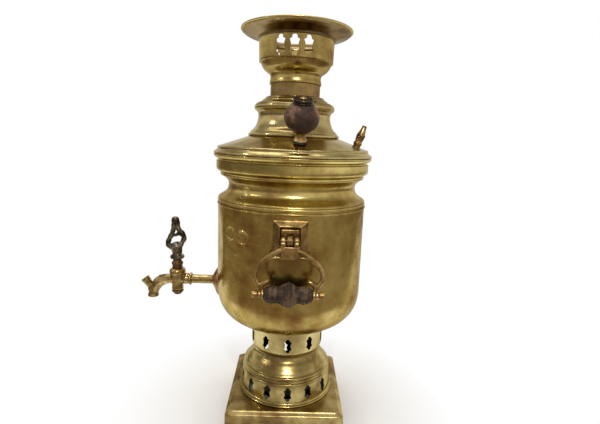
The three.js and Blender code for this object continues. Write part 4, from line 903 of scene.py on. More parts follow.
seals = []
for degrees, height, radius, relief in (
    (-138.1, 246.1, 8.2, 1.5), (-125.3, 244.9, 8.2, 1.5), (-132.3, 229.0, 6.4, 0.5),
):
    seals += seal(body_wall, degrees, height, radius, relief)
piece("blank_wall_seals", joined(*seals), "stand", BODY)
blob = seal(shoulder_wall, -130.6, 291.5, 6.4, 1.3)
piece("blank_shoulder_seal", joined(*blob), "stand", RING)

# %% [markdown]
# ## Lid fittings
#
# Each wooden knob is a stack on one screw: fibre washer, waisted brass stem, wooden ball, dark cap
# and slotted head. The stack stands square to the lid's cone, so it leans out. The vent leans out
# in the same way, and its cap has four small holes.

# %% Frames square to the lid
LID_TURN = math.radians(5.5)
LID_TILT = math.atan((CONE_TOP - CONE_LOW) / (CONE_R - LID_HOLE_R))
KNOB_R, VENT_R = 70.02, 77.70


def on_lid(angle, radius):
    """A frame on the lid's cone: out along the spoke, with Z square to the cone."""
    place = (radius, 0, CONE_LOW + (CONE_R - radius) * math.tan(LID_TILT))
    out = Matrix.Rotation(angle, 4, "Z") @ Matrix.Translation(place)
    return out @ Matrix.Rotation(LID_TILT, 4, "Y")


# %% Outlines of the knob's stack
BORE, HEAD_LOW = 2.4, 45.4
washer_line = soften([[BORE, 0.3], [6.8, 0.3], [7.2, 0.7], [7.2, 1.9], [6.8, 2.3], [BORE, 2.3]], 1)
stem_line = soften([
    [6.9, 2.6], [7.2, 2.9], [7.1, 3.5], [6.4, 4.6], [5.5, 6.2], [5.0, 7.8], [4.8, 9.2],
    [5.1, 10.4], [5.5, 11.1],
])
ball_line = soften([
    [5.2, 11.5], [7.4, 12.0], [11.4, 14.4], [15.2, 18.0], [17.8, 23.0], [18.1, 27.6],
    [17.0, 32.4], [14.6, 36.6], [11.8, 39.6], [10.4, 41.0],
])
cap_line = np.concatenate([
    [[BORE, 41.3]],
    soften([[9.6, 41.3], [10.2, 41.7], [10.2, 42.8], [9.6, 43.1]]),
    soften([[9.5, 43.2], [9.5, 43.9], [10.2, 44.2], [10.3, 45.6], [9.6, 46.3], [8.6, 46.3]]),
    soften([[8.5, 46.2], [7.6, 45.5], [5.0, 45.2], [BORE, 45.2]]),
])
head_line = soften([[2.0, HEAD_LOW], [3.6, 45.6], [3.6, 46.6], [2.8, 47.6], [0.6, 48.2]])
shank_line = [[2.0, -5.0], [2.0, 45.6]]


def bored(line, angles):
    """A turned form with a hole for the screw: its outline is closed along the hole's wall."""
    return turned([[BORE, line[0][1]], *line, [BORE, line[-1][1]]], angles)


# %% Knobs


def slotted_head(half_slot=0.45, depth=0.9, floor=HEAD_LOW + 0.6, dome=HEAD_LOW + 0.8):
    """The domed head with its slot: points above the dome's foot and inside the slot's width are
    lowered by its depth, but not below its floor."""
    points, quads = solid_turned(head_line, angles=64)
    inside = (np.abs(points[:, 1]) < half_slot) & (points[:, 2] > dome)
    points[inside, 2] = np.maximum(points[inside, 2] - depth, floor)
    return points, quads


SLOT_TURN = Matrix.Rotation(math.radians(35), 4, "Z")
stack = (
    ("washer", turned(washer_line, angles=48), FIBRE, "washer_fibre"),
    ("stem", bored(stem_line, angles=56), NUT, "stem_bronze"),
    ("ball", bored(ball_line, angles=96), BALL, "knob_wood"),
    ("cap", turned(cap_line, angles=72), CAP, "cap_metal"),
)
screw = joined(slotted_head(), solid_turned(shank_line, angles=32))
for side, turn in (("front", FRONT), ("back", -FRONT)):
    spot = on_lid(LID_TURN + turn, KNOB_R)
    for part, surface, finish, slot in stack:
        node = f"knob_{side}_{part}"
        piece(f"turned_{node}", placed(surface, spot), "lid", finish, [node])
    node = f"knob_{side}_screw"
    piece(f"slotted_{node}", placed(screw, spot @ SLOT_TURN), "lid", BRONZE, [node])

# %% Vent
TENON_R, TENON_BORE = 2.6, 1.3
vent_spot = on_lid(LID_TURN, VENT_R)
vent_foot = np.concatenate([
    [[TENON_BORE, -5.4], [TENON_R, -5.4], [TENON_R, 0.3]],
    soften([[4.2, 0.3], [4.6, 0.8], [4.6, 2.4], [5.3, 3.2], [5.5, 5.4], [5.0, 6.2], [4.6, 6.6],
            [4.6, 7.8]]),
    [[TENON_R, 7.9], [TENON_R, 13.3], [TENON_BORE, 13.3]],
])
piece("turned_vent_base", placed(turned(vent_foot, angles=48), vent_spot), "lid", VENT,
      ["vent_base"])


def vent_cap_surface(holes=4, hole_radius=1.25, hole_height=14.6, hole_depth=1.9, wall=4.5, rows=90):
    """The cap with pierced sides: its outline is cut in equal rows, and a point of the wall that is
    nearer to a hole's middle than its radius moves inwards, so each hole is a deep dimple."""
    outer = np.concatenate([[[3.0, 8.2]], soften([
        [4.8, 8.2], [5.0, 8.8], [5.1, 11.0], [5.5, 13.0], [5.5, 15.0], [5.3, 15.6], [4.6, 17.4],
        [4.0, 19.4], [3.6, 21.6], [3.0, 23.8], [2.8, 25.4], [2.9, 26.6], [2.4, 27.2],
    ], 3), [[0.0, 27.3]]])
    share, given = np.linspace(0, 1, rows), np.linspace(0, 1, len(outer))
    even = np.stack([np.interp(share, given, column) for column in outer.T], 1)
    hollow = [[0.0, 13.9], [3.0, 13.9]]
    points, quads = turned(np.concatenate([outer[:1], even, hollow]), angles=128)
    a, r = np.arctan2(points[:, 1], points[:, 0]), np.hypot(points[:, 0], points[:, 1])
    pitch = TAU / holes
    nearest = (np.round(a / pitch - 0.5) + 0.5) * pitch
    away = np.hypot((a - nearest) * r, points[:, 2] - hole_height)
    depth = np.where((r > wall) & (away < hole_radius), hole_depth, 0.0)
    points[:, :2] *= ((r - depth) / np.maximum(r, 1e-6))[:, None]
    return points, quads


piece("turned_vent_cap", placed(vent_cap_surface(), vent_spot), "vent_cap", VENT,
      ["vent_cap"])

# %% [markdown]
# ## Cast pieces
#
# The tap, its key and the handles are cast, then filed. A casting has no knife edges: where two
# forms meet there is a small fillet. The forms are built as overlapping closed surfaces, a voxel
# remesh joins them into one skin, and a little smoothing rounds every meeting.

# %% One skin from many forms


def cast(name, surfaces, voxel=0.5, smoothing=3):
    """Joins closed surfaces into one skin with a voxel remesh, then smooths it."""
    rough = bpy.data.objects.new(name + "_pattern", make_mesh(name + "_pattern", joined(*surfaces)))
    bpy.context.scene.collection.objects.link(rough)
    remesh = rough.modifiers.new("skin", "REMESH")
    remesh.mode = "VOXEL"
    remesh.voxel_size = voxel * MM
    soft = rough.modifiers.new("file", "SMOOTH")
    soft.factor = 0.5
    soft.iterations = smoothing
    bpy.context.view_layer.update()
    evaluated = rough.evaluated_get(bpy.context.evaluated_depsgraph_get())
    mesh = bpy.data.meshes.new_from_object(evaluated)
    bpy.data.objects.remove(rough)
    mesh.name = name
    return mesh


def capped(rows):
    """Rows of points that close on themselves, as one closed skin with a flat face at each end."""
    count, sides = rows.shape[:2]
    last = (count - 1) * sides
    faces = grid_quads(count, sides).tolist()
    faces += [list(range(sides))[::-1], list(range(last, last + sides))]
    return rows.reshape(-1, 3), faces


# %% Tubes along a path


def along_x(surface):
    """Turns a Z-axis surface to run along +X."""
    return placed(surface, Matrix.Rotation(math.pi / 2, 4, "Y"))


def spline(points, steps):
    """A smooth line through points, by a cubic through each four in turn."""
    p = np.asarray(points, float)
    p = np.concatenate([[2 * p[0] - p[1]], p, [2 * p[-1] - p[-2]]])
    t = np.linspace(0, len(p) - 3 - 1e-9, steps)
    i = t.astype(int)
    f = (t - i)[:, None]
    a, b, c, d = p[i], p[i + 1], p[i + 2], p[i + 3]
    return 0.5 * (2 * b + (c - a) * f + (2 * a - 5 * b + 4 * c - d) * f**2
                  + (3 * b - a - 3 * c + d) * f**3)


def tube(path, radii, sides=12, squash=1.0):
    """A round section carried along a path of X and Z: cos t goes along Y, and sin t along the
    path's own normal. radii gives the size at each point of the path."""
    path = np.insert(np.asarray(path, float), 1, 0, axis=1)
    along = np.gradient(path, axis=0)
    along /= np.linalg.norm(along, axis=1)[:, None]
    normal = np.stack([-along[:, 2], 0 * along[:, 0], along[:, 0]], 1)[:, None]
    t = (np.arange(sides) * TAU / sides)[:, None]
    ring = np.cos(t) * [0, squash, 0] + np.sin(t) * normal
    return capped(path[:, None] + ring * np.asarray(radii, float)[:, None, None])


# %% Bars with eased corners


def oblong(half_width, half_height, corner, grow, count):
    """A rounded oblong: each quarter of a circle of the corner's radius, times grow, moved out to
    the middle of its corner."""
    t = (np.arange(count) + 0.5) * TAU / count
    arc = np.stack([np.cos(t), np.sin(t)], 1)
    return np.sign(arc) * [half_width - corner, half_height - corner] + arc * corner * grow


def bar(size, middle, edge):
    """A bar with eased corners: rings of a rounded oblong that grow from each end."""
    x, y, z = np.array(size) / 2
    corner = min(edge, x * 0.9, y * 0.9, z * 0.9)
    low_end = [(corner * rise - z, grow) for rise, grow in ((0.0, 0.0), (0.3, 0.7), (1.0, 1.0))]
    high_end = [(-lift, grow) for lift, grow in low_end[::-1]]
    rows = [np.insert(oblong(x, y, corner, grow, 24), 2, lift, axis=1) for lift, grow in low_end + high_end]
    return capped(np.stack(rows) + middle)


# %% [markdown]
# ## Tap
#
# The tap is one casting: a turned pipe with a collar, an upright barrel for the plug, and a spout
# that drops to a ring. A small open gutter stands up from the spout's front. The pipe and barrel
# are lathe forms. The spout is an eight-sided section that swells at the bend and narrows again
# towards the ring.

# %% Tap body
PLUG_X, _, TAP_H = joint_at["tap_key_turn"]
pipe_line = np.concatenate([
    [[5.5, 86.6], [5.5, 122.4]],
    soften([[5.7, 122.9], [7.5, 123.2], [8.1, 124.2], [8.1, 125.4], [7.4, 126.4], [6.4, 126.9],
            [6.3, 127.6], [6.9, 128.3], [7.2, 130.2], [6.9, 132.2], [6.2, 133.2]]),
    [[5.9, 135.0], [5.9, 138.0]],
])
pipe = placed(solid_turned(pipe_line, angles=40),
              Matrix.Translation((0, 0, TAP_H)) @ Matrix.Rotation(-math.pi / 2, 4, "Y"))
barrel_line = np.concatenate([
    soften([[5.4, 157.2], [6.9, 157.4], [7.5, 158.4], [7.2, 160.2], [7.0, 162.0], [7.6, 167.0],
            [8.4, 172.0], [8.8, 177.0], [9.0, 178.0]]),
    soften([[9.1, 178.1], [10.0, 178.7], [10.2, 181.6], [9.7, 183.4], [8.4, 184.8], [7.4, 185.2]]),
])
barrel = shifted(solid_turned(barrel_line, angles=40), PLUG_X, 0, 0)
spout_path = [
    (-143, 170.9), (-151, 170.6), (-156, 169.9), (-161, 168.4), (-165.6, 165.2), (-169, 160.4),
    (-171.2, 155.6), (-172.4, 151.4),
]
spout = tube(spout_path, [6.3, 6.4, 6.9, 7.5, 7.2, 6.6, 6.2, 6.1], sides=8)
outlet_line = soften([
    [5.8, 146.8], [6.6, 147.0], [6.9, 147.8], [6.8, 149.4], [6.2, 150.6], [6.0, 152.2],
])
outlet = shifted(solid_turned(outlet_line, angles=32), -172.6, 0, 0)


def gutter(foot, tip, width, depth, wall, steps=14, across=15):
    """The upturned beak: a half-round trough from foot to tip, open upwards and outwards. Its
    section is an arc with the wall's thickness, and it widens from foot to tip."""
    foot, tip = (np.array([x, 0, z], float) for x, z in (foot, tip))
    reach = tip - foot
    along = reach / np.linalg.norm(reach)
    up = np.array([along[2], 0, -along[0]])
    s = np.linspace(0, 1, steps)[:, None]
    t = np.linspace(-math.pi / 2, math.pi / 2, across)
    skins = []
    for inset, order in ((0.0, 1), (wall, -1)):
        y = (width / 2 * (0.72 + 0.28 * s) - inset) * np.sin(t)[::order]
        drop = (depth * (0.8 + 0.2 * s) - inset) * np.cos(t)[::order]
        skins.append(foot + reach * s[..., None] + y[..., None] * [0, 1, 0] - drop[..., None] * up)
    return capped(np.concatenate(skins, 1))


beak = gutter((-171.8, 160.8), (-180.2, 172.7), width=11.6, depth=9.2, wall=1.5)
root = tube([(-173.0, 153.0), (-175.0, 157.6), (-176.2, 160.4)], [5.0, 4.8, 3.0])
piece("cast_tap", cast("cast_tap", [pipe, barrel, spout, outlet, beak, root]), "stand", TAP,
      ["tap_body"], CAST_SHARP)

# %% [markdown]
# ### Leaf on the wall
#
# A dished leaf hides the joint between pipe and wall. A flat leaf could be cut out and bent, but
# here its rings shrink from the pointed edge to the pipe's hole while they rise off the wall, so
# outline and dish come in one step.

# %% Leaf on the wall
leaf_edge = soften([
    [0, 18.6], [5.4, 12.0], [10.6, 6.4], [12.0, 0], [10.6, -7.4], [5.8, -14.6], [0, -22.4],
    [-5.8, -14.6], [-10.6, -7.4], [-12.0, 0], [-10.6, 6.4], [-5.4, 12.0],
], closed=True)


def leaf_surface(rings=16, pipe_hole=6.3):
    """A dished leaf: rings shrink from its edge to the pipe, and rise from the wall by a curve."""
    share = np.linspace(0, 1, rings)[:, None, None]
    hole = leaf_edge / np.linalg.norm(leaf_edge, axis=1)[:, None] * pipe_hole
    across, up = np.moveaxis(leaf_edge * (1 - share) + hole * share, -1, 0)
    wall = np.sqrt(BODY_R**2 - across**2)
    skins = [np.stack([-(wall + gap + dish * share[..., 0] ** 0.8), across, up + TAP_H], -1)
             for gap, dish in ((0.9, 6.4), (0.35, 4.6))]
    return joined(*shell(*skins, edges=[0, -1]))


piece("dished_tap_leaf", leaf_surface(), "stand", LEAF, ["tap_escutcheon"])

# %% [markdown]
# ## Key of the tap
#
# The plug rises through the barrel as a ringed stem and ends in a disc. On it stands an openwork
# vine: two stems part round an oval eye, meet, part again round a slit and close in a bud. Each
# stem is a tube with knuckles along it, and the remesh grows them together as in the casting.

# %% Plug with its stem and disc
plug_line = np.concatenate([
    soften([[2.8, 150.6], [4.8, 151.4], [5.3, 153.2], [3.0, 153.6]], 1),
    [[3.0, 157.0], [4.2, 157.2], [6.2, 185.0]],
    soften([[6.3, 185.4], [6.5, 186.8], [6.1, 188.4], [6.5, 189.8], [7.3, 191.2], [7.0, 192.8],
            [5.8, 193.8], [5.2, 195.4], [5.3, 197.2]]),
    soften([[5.6, 197.5], [8.2, 197.9], [8.8, 199.2], [8.7, 201.0], [7.8, 202.1], [6.0, 202.5]]),
    [[5.9, 204.0], [5.4, 206.0]],
])
plug = shifted(solid_turned(plug_line, angles=40), PLUG_X, 0, 0)

# %% Vine and key


def sized(steps, places, sizes):
    """The size at each step along a form, in straight stretches between the given places."""
    return np.interp(np.linspace(0, 1, steps), places, sizes)


def knuckled_vine(points, phase, places, sizes, steps=60, radius=2.4, knuckles=6, swell=0.22):
    """A vine stem: a tube whose size is its radius, times the sizes along it, times a wave of
    rounded knuckles."""
    wave = np.sin(math.pi * (knuckles * np.linspace(0, 1, steps) + phase))
    radii = radius * (1 + swell * np.abs(wave)) * sized(steps, places, sizes)
    return tube(spline(points, steps), radii, squash=0.95)


vine_left = knuckled_vine([
    (-151.0, 212.6), (-152.8, 216.6), (-151.4, 221.4), (-149.2, 226.0), (-147.0, 230.8),
    (-145.8, 236.0), (-145.2, 241.0), (-144.8, 245.4), (-143.6, 248.2),
], 0.2, [0, 0.1, 0.3, 0.55, 0.8, 1], [1.2, 1.2, 1.15, 1.1, 1.15, 1])
vine_right = knuckled_vine([
    (-139.2, 209.0), (-137.8, 214.4), (-134.5, 219.6), (-132.6, 225.0), (-135.6, 230.2),
    (-139.2, 235.0), (-140.2, 240.4), (-140.8, 245.2), (-142.0, 248.2),
], 0.6, [0, 0.25, 0.4, 0.5, 0.66, 1], [1.5, 1.15, 1.2, 1.4, 1.1, 1.1])
trunk = tube([(-141.3, 204.0), (-141.6, 208.0), (-142.8, 213.0), (-144.4, 218.2)],
             [6.2, 6.6, 7.4, 4.2], sides=16, squash=0.85)
lobe = tube([(-144.0, 210.6), (-149.4, 212.8), (-153.4, 214.6)], [4.2, 4.0, 2.4], squash=0.9)
knot = tube([(-148.4, 227.8), (-144.6, 226.8), (-139.6, 229.4)], [2.4, 1.6, 2.6])
seam = tube([(-142.9, 237.0), (-142.9, 240.6), (-142.9, 245.0)], [1.2, 1.7, 2.4])
bud_line = soften([
    [1.6, 241.6], [4.3, 243.2], [5.2, 245.4], [4.7, 247.2], [4.6, 249.2], [2.6, 250.8],
])
bud = shifted(solid_turned(bud_line, angles=24), -143.1, 0, 0)
key_forms = [plug, vine_left, vine_right, trunk, lobe, knot, seam, bud]
piece("cast_tap_key", cast("cast_tap_key", key_forms, voxel=0.45), "tap_key", KEY,
      ["tap_key"], CAST_SHARP)
key_washer = soften([
    [3.4, 153.7], [6.4, 153.7], [7.2, 154.3], [7.4, 156.3], [6.8, 156.9], [3.4, 156.9],
], 1)
piece("turned_key_washer", shifted(turned(key_washer, angles=40), PLUG_X, 0, 0), "tap_key",
      DULL_BRASS, ["tap_key_washer"])

# %% [markdown]
# ## Handles
#
# Each side has a mitred plate with a knuckled hinge, a bail of two C-shaped arms, and a wooden grip
# on a rod. The front one is built in place and the back one is the same work turned half round.

# %% Hinge plate
_, PIN_Y, PIN_H = joint_at["handle_front_swing"]
GRIP_Y, DROP = -102.99, 56.0
LEAN = math.asin((PIN_Y - GRIP_Y) / DROP)


def roller(radius, bevel, low, high, angles=32, ease=0.4):
    """A short round bar along X from low to high. Its ends are bevelled: bevel is what they lose of
    the radius, and ease is how far the bevel goes in along X."""
    line = [[radius - bevel, low], [radius, low + ease], [radius, high - ease], [radius - bevel, high]]
    return along_x(solid_turned(soften(line, 1), angles))


def hinge_plate_surface():
    """The mitred plate: from its edge it slopes up to a rounded crest and drops to a sunk field, on
    which stand the block over the hinge and the strap that curls round the pin."""
    plate = capped(np.stack([
        np.insert(oblong(half_width, half_height, 0.5, 1, 48), 1, y, axis=1)
        for half_width, half_height, y in (
            (18.3, 16.5, -87.4), (18.3, 16.5, -91.0), (18.0, 16.2, -91.5), (17.4, 15.6, -91.6),
            (16.9, 15.1, -92.0), (11.9, 11.2, -95.0), (11.2, 10.5, -95.4), (10.6, 9.9, -95.1),
            (10.2, 9.4, -94.0), (10.0, 9.2, -93.0),
        )
    ]))
    block = bar((18.0, 5.4, 4.2), (0, -94.6, PIN_H + 9.0), 0.8)
    strap = bar((5.8, 8.4, 8.6), (0, -95.6, PIN_H + 0.9), 1.0)
    curl = shifted(roller(4.7, 0.9, -3.0, 3.0), 0, PIN_Y, PIN_H)
    return [shifted(plate, 0, 0, PIN_H + 2.9), block, strap, curl]


# %% [markdown]
# ### Bail
#
# The arms leave a square block, swing out and down, and end in an ear with a small leaf that curls
# inwards. An arm is a round tube that thins towards its lower half. A thinner strand runs below
# it, and strand and leaf are ovals, a little deeper than they are wide. The knuckles are short
# rollers on the pin's axis.

# %% Bail


def bail_surfaces():
    """The bail hanging straight down from a pin at the origin, as overlapping forms."""
    forms = [bar((19.0, 5.4, 13.8), (0.4, 0, -12.6), 1.2), bar((22.6, 4.6, 5.4), (0.4, 0, -9.4), 2.0)]
    for side in (-1, 1):
        arm = [(8.0, -9.8), (14.0, -12.2), (20.0, -15.8), (27.0, -21.2), (32.2, -28.4),
               (34.8, -36.0), (33.2, -42.4), (29.4, -47.4), (26.0, -51.6)]
        strand = [(7.0, -17.6), (13.4, -17.4), (19.4, -18.6), (26.0, -22.6), (30.0, -26.6)]
        leaf = [(28.6, -46.8), (26.4, -45.2), (23.8, -43.4), (21.4, -42.0), (19.6, -41.0)]
        arm, strand, leaf = (np.array(line) * [side, 1] for line in (arm, strand, leaf))
        forms += [
            shifted(roller(4.2, 0.8, 0, 4.8), 4.4 if side > 0 else -9.2, 0, 0),
            bar((4.8, 8.0, 3.0), (side * 6.8, -0.6, -3.0), 0.7),
            bar((4.8, 5.0, 5.0), (side * 6.8, 0, -5.0), 0.7),
            tube(spline(arm, 60), sized(60, [0, 0.3, 0.6, 0.85, 1], [3.0, 2.7, 2.3, 2.7, 2.0])),
            tube(spline(strand, 30), np.full(30, 1.8), squash=1.1),
            tube(spline(leaf, 24), sized(24, [0, 0.5, 0.8, 1], [3.2, 3.2, 2.6, 1.2]), squash=1.1),
            shifted(roller(5.1, 0.7, -1.5, 1.5), side * 26.3, 0, -DROP),
            bar((3.6, 5.2, 12.0), (side * 26.7, 0, -49.6), 1.0),
        ]
    return forms


# %% [markdown]
# ### Grip
#
# The grip was turned between centres: a fat middle with a crest, a valley on each side, and a
# smaller lobe at each end, all with shallow ridges from the tool. The brass end nuts are small
# turned buttons.

# %% Grip and nuts
GRIP_HALF, ROD_BORE, RIDGE_PITCH = 24.6, 2.2, 3.3
grip_shape = spline([
    [6.6, -24.4], [8.3, -21.4], [9.1, -18.0], [9.0, -15.0], [8.6, -12.2], [9.0, -9.4], [10.6, -6.0],
    [11.8, -3.2], [12.9, 0.0], [11.9, 3.4], [10.1, 6.2], [8.7, 8.8], [8.5, 10.8], [9.1, 13.6],
    [9.4, 15.6], [8.8, 18.6], [7.6, 21.8], [6.4, 24.4],
], 190)
grip_shape[:, 0] += 0.16 * np.cos(grip_shape[:, 1] * TAU / RIDGE_PITCH)
grip_line = np.concatenate([
    [[ROD_BORE, -GRIP_HALF], [5.9, -GRIP_HALF]], grip_shape, [[5.9, GRIP_HALF], [ROD_BORE, GRIP_HALF]],
])
nut_line = np.concatenate([
    [[ROD_BORE, 28.0]],
    soften([[3.6, 28.0], [4.2, 28.4], [4.2, 30.6], [3.7, 31.2], [3.2, 31.5]]),
    soften([[3.3, 31.6], [3.8, 32.0], [3.9, 36.4], [3.5, 37.2], [2.4, 37.4], [2.0, 36.9], [0.0, 36.8]]),
    [[0.0, 31.6], [ROD_BORE, 31.6]],
])

# %% Both handles
rod_line = [[1.8, -31.2], [1.8, 31.2]]
for side, turn in (("front", 0.0), ("back", math.pi)):
    body = f"{side}_bail"
    half_turn = Matrix.Rotation(turn, 4, "Z")
    at_pin = half_turn @ Matrix.Translation((0, PIN_Y, PIN_H))
    hanging = at_pin @ Matrix.Rotation(-LEAN, 4, "X")
    at_grip = hanging @ Matrix.Translation((0, 0, -DROP))
    plate = [placed(form, half_turn) for form in hinge_plate_surface()]
    plate = cast(f"cast_{side}_hinge_plate", plate, voxel=0.45, smoothing=2)
    piece(f"cast_{side}_hinge_plate", plate, "stand", BRONZE,
          [f"handle_{side}_plate"], CAST_SHARP)
    bail = cast(f"cast_{side}_bail", [placed(form, hanging) for form in bail_surfaces()], voxel=0.45)
    piece(f"cast_{side}_bail", bail, body, BRONZE, [f"handle_{side}_bail"], CAST_SHARP)
    pin = placed(roller(2.0, 0.4, -10.0, 10.0, angles=24), at_pin)
    # painted shade: the pin takes the near-black cap finish so that the gaps round the knuckles read as deep shade
    piece(f"riveted_{side}_pin", pin, "stand", CAP, [f"handle_{side}_pin"])
    grip = placed(along_x(turned(grip_line, angles=96)), at_grip)
    piece(f"turned_{side}_grip", grip, body, GRIP, [f"handle_{side}_grip"])
    rod = placed(along_x(solid_turned(rod_line, angles=24)), at_grip)
    piece(f"threaded_{side}_rod", rod, body, DULL_BRASS, [f"handle_{side}_rod"])
    for end, mirror in (("left", math.pi), ("right", 0.0)):
        nut = placed(along_x(turned(nut_line, angles=32)), at_grip @ Matrix.Rotation(mirror, 4, "Z"))
        piece(f"turned_{side}_nut_{end}", nut, body, NUT,
              [f"handle_{side}_nut_{end}"])

# %% [markdown]
# ## Camera
#
# The camera stands half a metre in front of the axis, a little below the crown, tipped down and
# slightly turned. Its lens and tilt were worked out from the ellipses of the rings.

# %% Camera
IMAGE_W, LENS_PX, SENSOR_MM = 600.0, 408.4, 36.0
CAMERA_BACK, CAMERA_UP = 0.5, 0.3503
pitch, yaw, roll = math.radians(10.0), math.radians(1.27), math.radians(2.19)
forward = np.array([math.sin(yaw) * math.cos(pitch), math.cos(yaw) * math.cos(pitch),
                    -math.sin(pitch)])
right = np.array([math.cos(yaw), -math.sin(yaw), 0.0])
down = np.cross(forward, right)
image_x = math.cos(roll) * right - math.sin(roll) * down
image_y = math.sin(roll) * right + math.cos(roll) * down
camera_data = bpy.data.cameras.new("camera")
camera_data.sensor_width = SENSOR_MM
camera_data.lens = LENS_PX / IMAGE_W * SENSOR_MM
camera_data.clip_start, camera_data.clip_end = 0.01, 50
camera = bpy.data.objects.new("camera", camera_data)
bpy.context.scene.collection.objects.link(camera)
pose = np.eye(4)
pose[:3, :3] = np.stack([image_x, -image_y, -forward], 1)
pose[:3, 3] = [0, -CAMERA_BACK, CAMERA_UP]
camera.matrix_world = Matrix(pose.tolist())
bpy.context.scene.camera = camera
print("lens, mm:", round(camera_data.lens, 2))

# %% [markdown]
# ## Floor, room and lamps
#
# A pale floor carries the shadow and fades to white with distance. The room is white behind the
# object, as a studio sheet would be. Elsewhere it is a warm grey, dark on the left and pale on the
# right, so that the polished metal has something darker to mirror. Three soft lamps do the rest.

# %% Floor
# each pair is where a change begins and ends, in metres; the slope and turn shape the sheet's sides
SHEET_SLOPE, SHEET_TURN, SHEET_SIDE = -1.385, 0.055, (-0.66, -0.585)
SHEET_FRONT, SHADE_EDGE, FADE = (-0.27, -0.085), (0.056, 0.05), (0.06, 0.22)


def floor_material():
    """Pale matt paint near the object. Behind and beside it the paint fades to plain white, and in
    front, where the sheet ends, it turns to the warm grey of the table. Under the grate the paint is
    near black: painted shade under the base."""
    made, tree, shader, where = new_material("pale_matt_floor")
    split = add(tree, "ShaderNodeSeparateXYZ", Vector=where)
    x, y = split.outputs["X"], split.outputs["Y"]
    side = add(tree, "ShaderNodeMath", {"operation": "ABSOLUTE"}, i0=x)
    past = add(tree, "ShaderNodeMath", {"operation": "MULTIPLY_ADD"}, i0=side, i1=SHEET_SLOPE, i2=y)
    past = add(tree, "ShaderNodeMath", {"operation": "MULTIPLY_ADD"}, i0=x, i1=SHEET_TURN, i2=past)
    beside = add(tree, "ShaderNodeMapRange", Value=past, From_Min=SHEET_SIDE[0], From_Max=SHEET_SIDE[1])
    before = add(tree, "ShaderNodeMapRange", Value=y, From_Min=SHEET_FRONT[0], From_Max=SHEET_FRONT[1])
    on_sheet = add(tree, "ShaderNodeMath", {"operation": "MULTIPLY"}, i0=beside, i1=before)
    speck = add(tree, "ShaderNodeTexNoise", Vector=where, Scale=per_mm(40), Detail=4.0)
    pale = add(tree, "ShaderNodeValToRGB", stops=((0.3, "#f3f2ef"), (0.7, "#f8f7f5")), Fac=speck)
    table = linear("#978c7c")
    colour = add(tree, "ShaderNodeMix", {"data_type": "RGBA"}, i0=on_sheet, i6=table, i7=pale)
    far = add(tree, "ShaderNodeVectorMath", {"operation": "LENGTH"}, i0=where)
    # painted shade: the floor under the grate is painted near black, where the base shades it
    soot_and_shade_share = add(tree, "ShaderNodeMapRange", Value=far, From_Min=SHADE_EDGE[0], From_Max=SHADE_EDGE[1])
    soot_and_shade = linear("#1b1815")
    colour = add(tree, "ShaderNodeMix", {"data_type": "RGBA"}, i0=soot_and_shade_share, i6=colour, i7=soot_and_shade)
    fill(tree, shader, Base_Color=colour, Roughness=0.6)
    fade = add(tree, "ShaderNodeMapRange", Value=far, From_Min=FADE[0], From_Max=FADE[1])
    fade = add(tree, "ShaderNodeMath", {"operation": "MULTIPLY"}, i0=fade, i1=on_sheet)
    path = add(tree, "ShaderNodeLightPath").outputs
    seen = add(tree, "ShaderNodeMath", {"operation": "MAXIMUM"}, i0=path["Is Camera Ray"],
               i1=path["Is Glossy Ray"])
    seen = add(tree, "ShaderNodeMath", {"operation": "MAXIMUM"}, i0=seen, i1=path["Is Transmission Ray"])
    share = add(tree, "ShaderNodeMath", {"operation": "MULTIPLY"}, i0=seen, i1=fade)
    white = add(tree, "ShaderNodeEmission", Color=(1, 1, 1, 1), Strength=1.0)
    mix = add(tree, "ShaderNodeMixShader", i0=share, i1=shader, i2=white)
    output = next(n for n in tree.nodes if n.type == "OUTPUT_MATERIAL")
    fill(tree, output, Surface=mix)
    return made


LEFT, RIGHT, NEAR, BEYOND = -6, 3.2, -2.2, 6
corners = [(LEFT, NEAR, 0), (RIGHT, NEAR, 0), (RIGHT, BEYOND, 0), (LEFT, BEYOND, 0)]
floor_mesh = bpy.data.meshes.new("floor")
floor_mesh.from_pydata(corners, [], [(0, 1, 2, 3)])
floor_mesh.materials.append(floor_material())
floor = bpy.data.objects.new("floor", floor_mesh)
bpy.context.scene.collection.objects.link(floor)
floor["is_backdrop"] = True
print("floor, m:", corners[0][:2], "to", corners[2][:2])

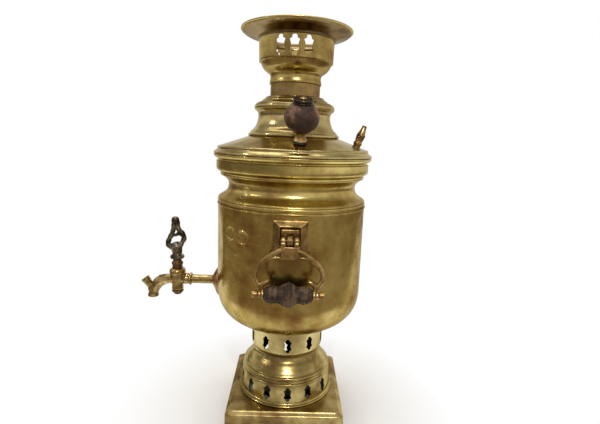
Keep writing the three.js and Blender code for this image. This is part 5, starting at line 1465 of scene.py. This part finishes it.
# %% Room
world = bpy.data.worlds.new("soft_room")
world.use_nodes = True
bpy.context.scene.world = world
tree = world.node_tree
background = next(n for n in tree.nodes if n.type == "BACKGROUND")
direction = add(tree, "ShaderNodeTexCoord").outputs["Generated"]
split = add(tree, "ShaderNodeSeparateXYZ", Vector=direction)
x, y, z = (split.outputs[axis] for axis in "XYZ")
across = add(tree, "ShaderNodeMath", {"operation": "MULTIPLY_ADD"}, i0=x, i1=0.12, i2=y)
behind = add(tree, "ShaderNodeMapRange", Value=across, From_Min=0.64, From_Max=0.71)
low_down = add(tree, "ShaderNodeMapRange", Value=z, From_Min=0.62, From_Max=0.34)
sheet = add(tree, "ShaderNodeMath", {"operation": "MULTIPLY"}, i0=behind, i1=low_down)
sideways = add(tree, "ShaderNodeMapRange", Value=x, From_Min=-1.0)
stops = ((0.08, "#58544c"), (0.33, "#6f6a61"), (0.52, "#b8b2a7"), (0.7, "#e0dacf"), (1.0, "#ebe5dc"))
sides = add(tree, "ShaderNodeValToRGB", stops=stops, Fac=sideways)
rising = add(tree, "ShaderNodeMapRange", Value=z, From_Min=0.04, From_Max=0.2)
falling = add(tree, "ShaderNodeMapRange", Value=z, From_Min=0.6, From_Max=0.34)
glow = add(tree, "ShaderNodeMath", {"operation": "MULTIPLY"}, i0=rising, i1=falling)
overhead = add(tree, "ShaderNodeMapRange", Value=z, From_Min=0.35, From_Max=0.7)
room = sides
for share, colour in ((glow, "#dfd9cf"), (overhead, "#a39d92"), (sheet, "#ffffff")):
    room = add(tree, "ShaderNodeMix", {"data_type": "RGBA"}, i0=share, i6=room, i7=linear(colour))
fill(tree, background, Color=room, Strength=1.0)
print("room of", len(tree.nodes), "nodes")

# %% Lamps


def soft_lamp(name, place, target, size, power, colour="#ffffff"):
    """A square soft lamp aimed at a point."""
    data = bpy.data.lights.new(name, "AREA")
    data.shape = "RECTANGLE"
    data.size = data.size_y = size
    data.energy = power
    data.color = linear(colour)[:3]
    lamp = bpy.data.objects.new(name, data)
    bpy.context.scene.collection.objects.link(lamp)
    lamp.rotation_mode = "QUATERNION"
    lamp.location = place
    lamp.rotation_quaternion = (Vector(place) - Vector(target)).to_track_quat("Z", "Y")
    print(name, "lamp,", power, "W")


soft_lamp("key", (0.13, -1.6, 1.62), (0, 0, 0.25), 0.11, 14)
soft_lamp("left_spot", (-1.58, -0.42, 1.4), (0, 0, 0.28), 0.08, 3)
soft_lamp("top_fill", (-0.2, 0.3, 2.2), (0, 0, 0.25), 1.6, 17, "#fffaf0")

# %% Finish
bpy.context.scene.view_settings.view_transform = "Standard"
low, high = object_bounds()
print("visual box, mm:", [round(v / MM, 1) for v in (*low, *high)])
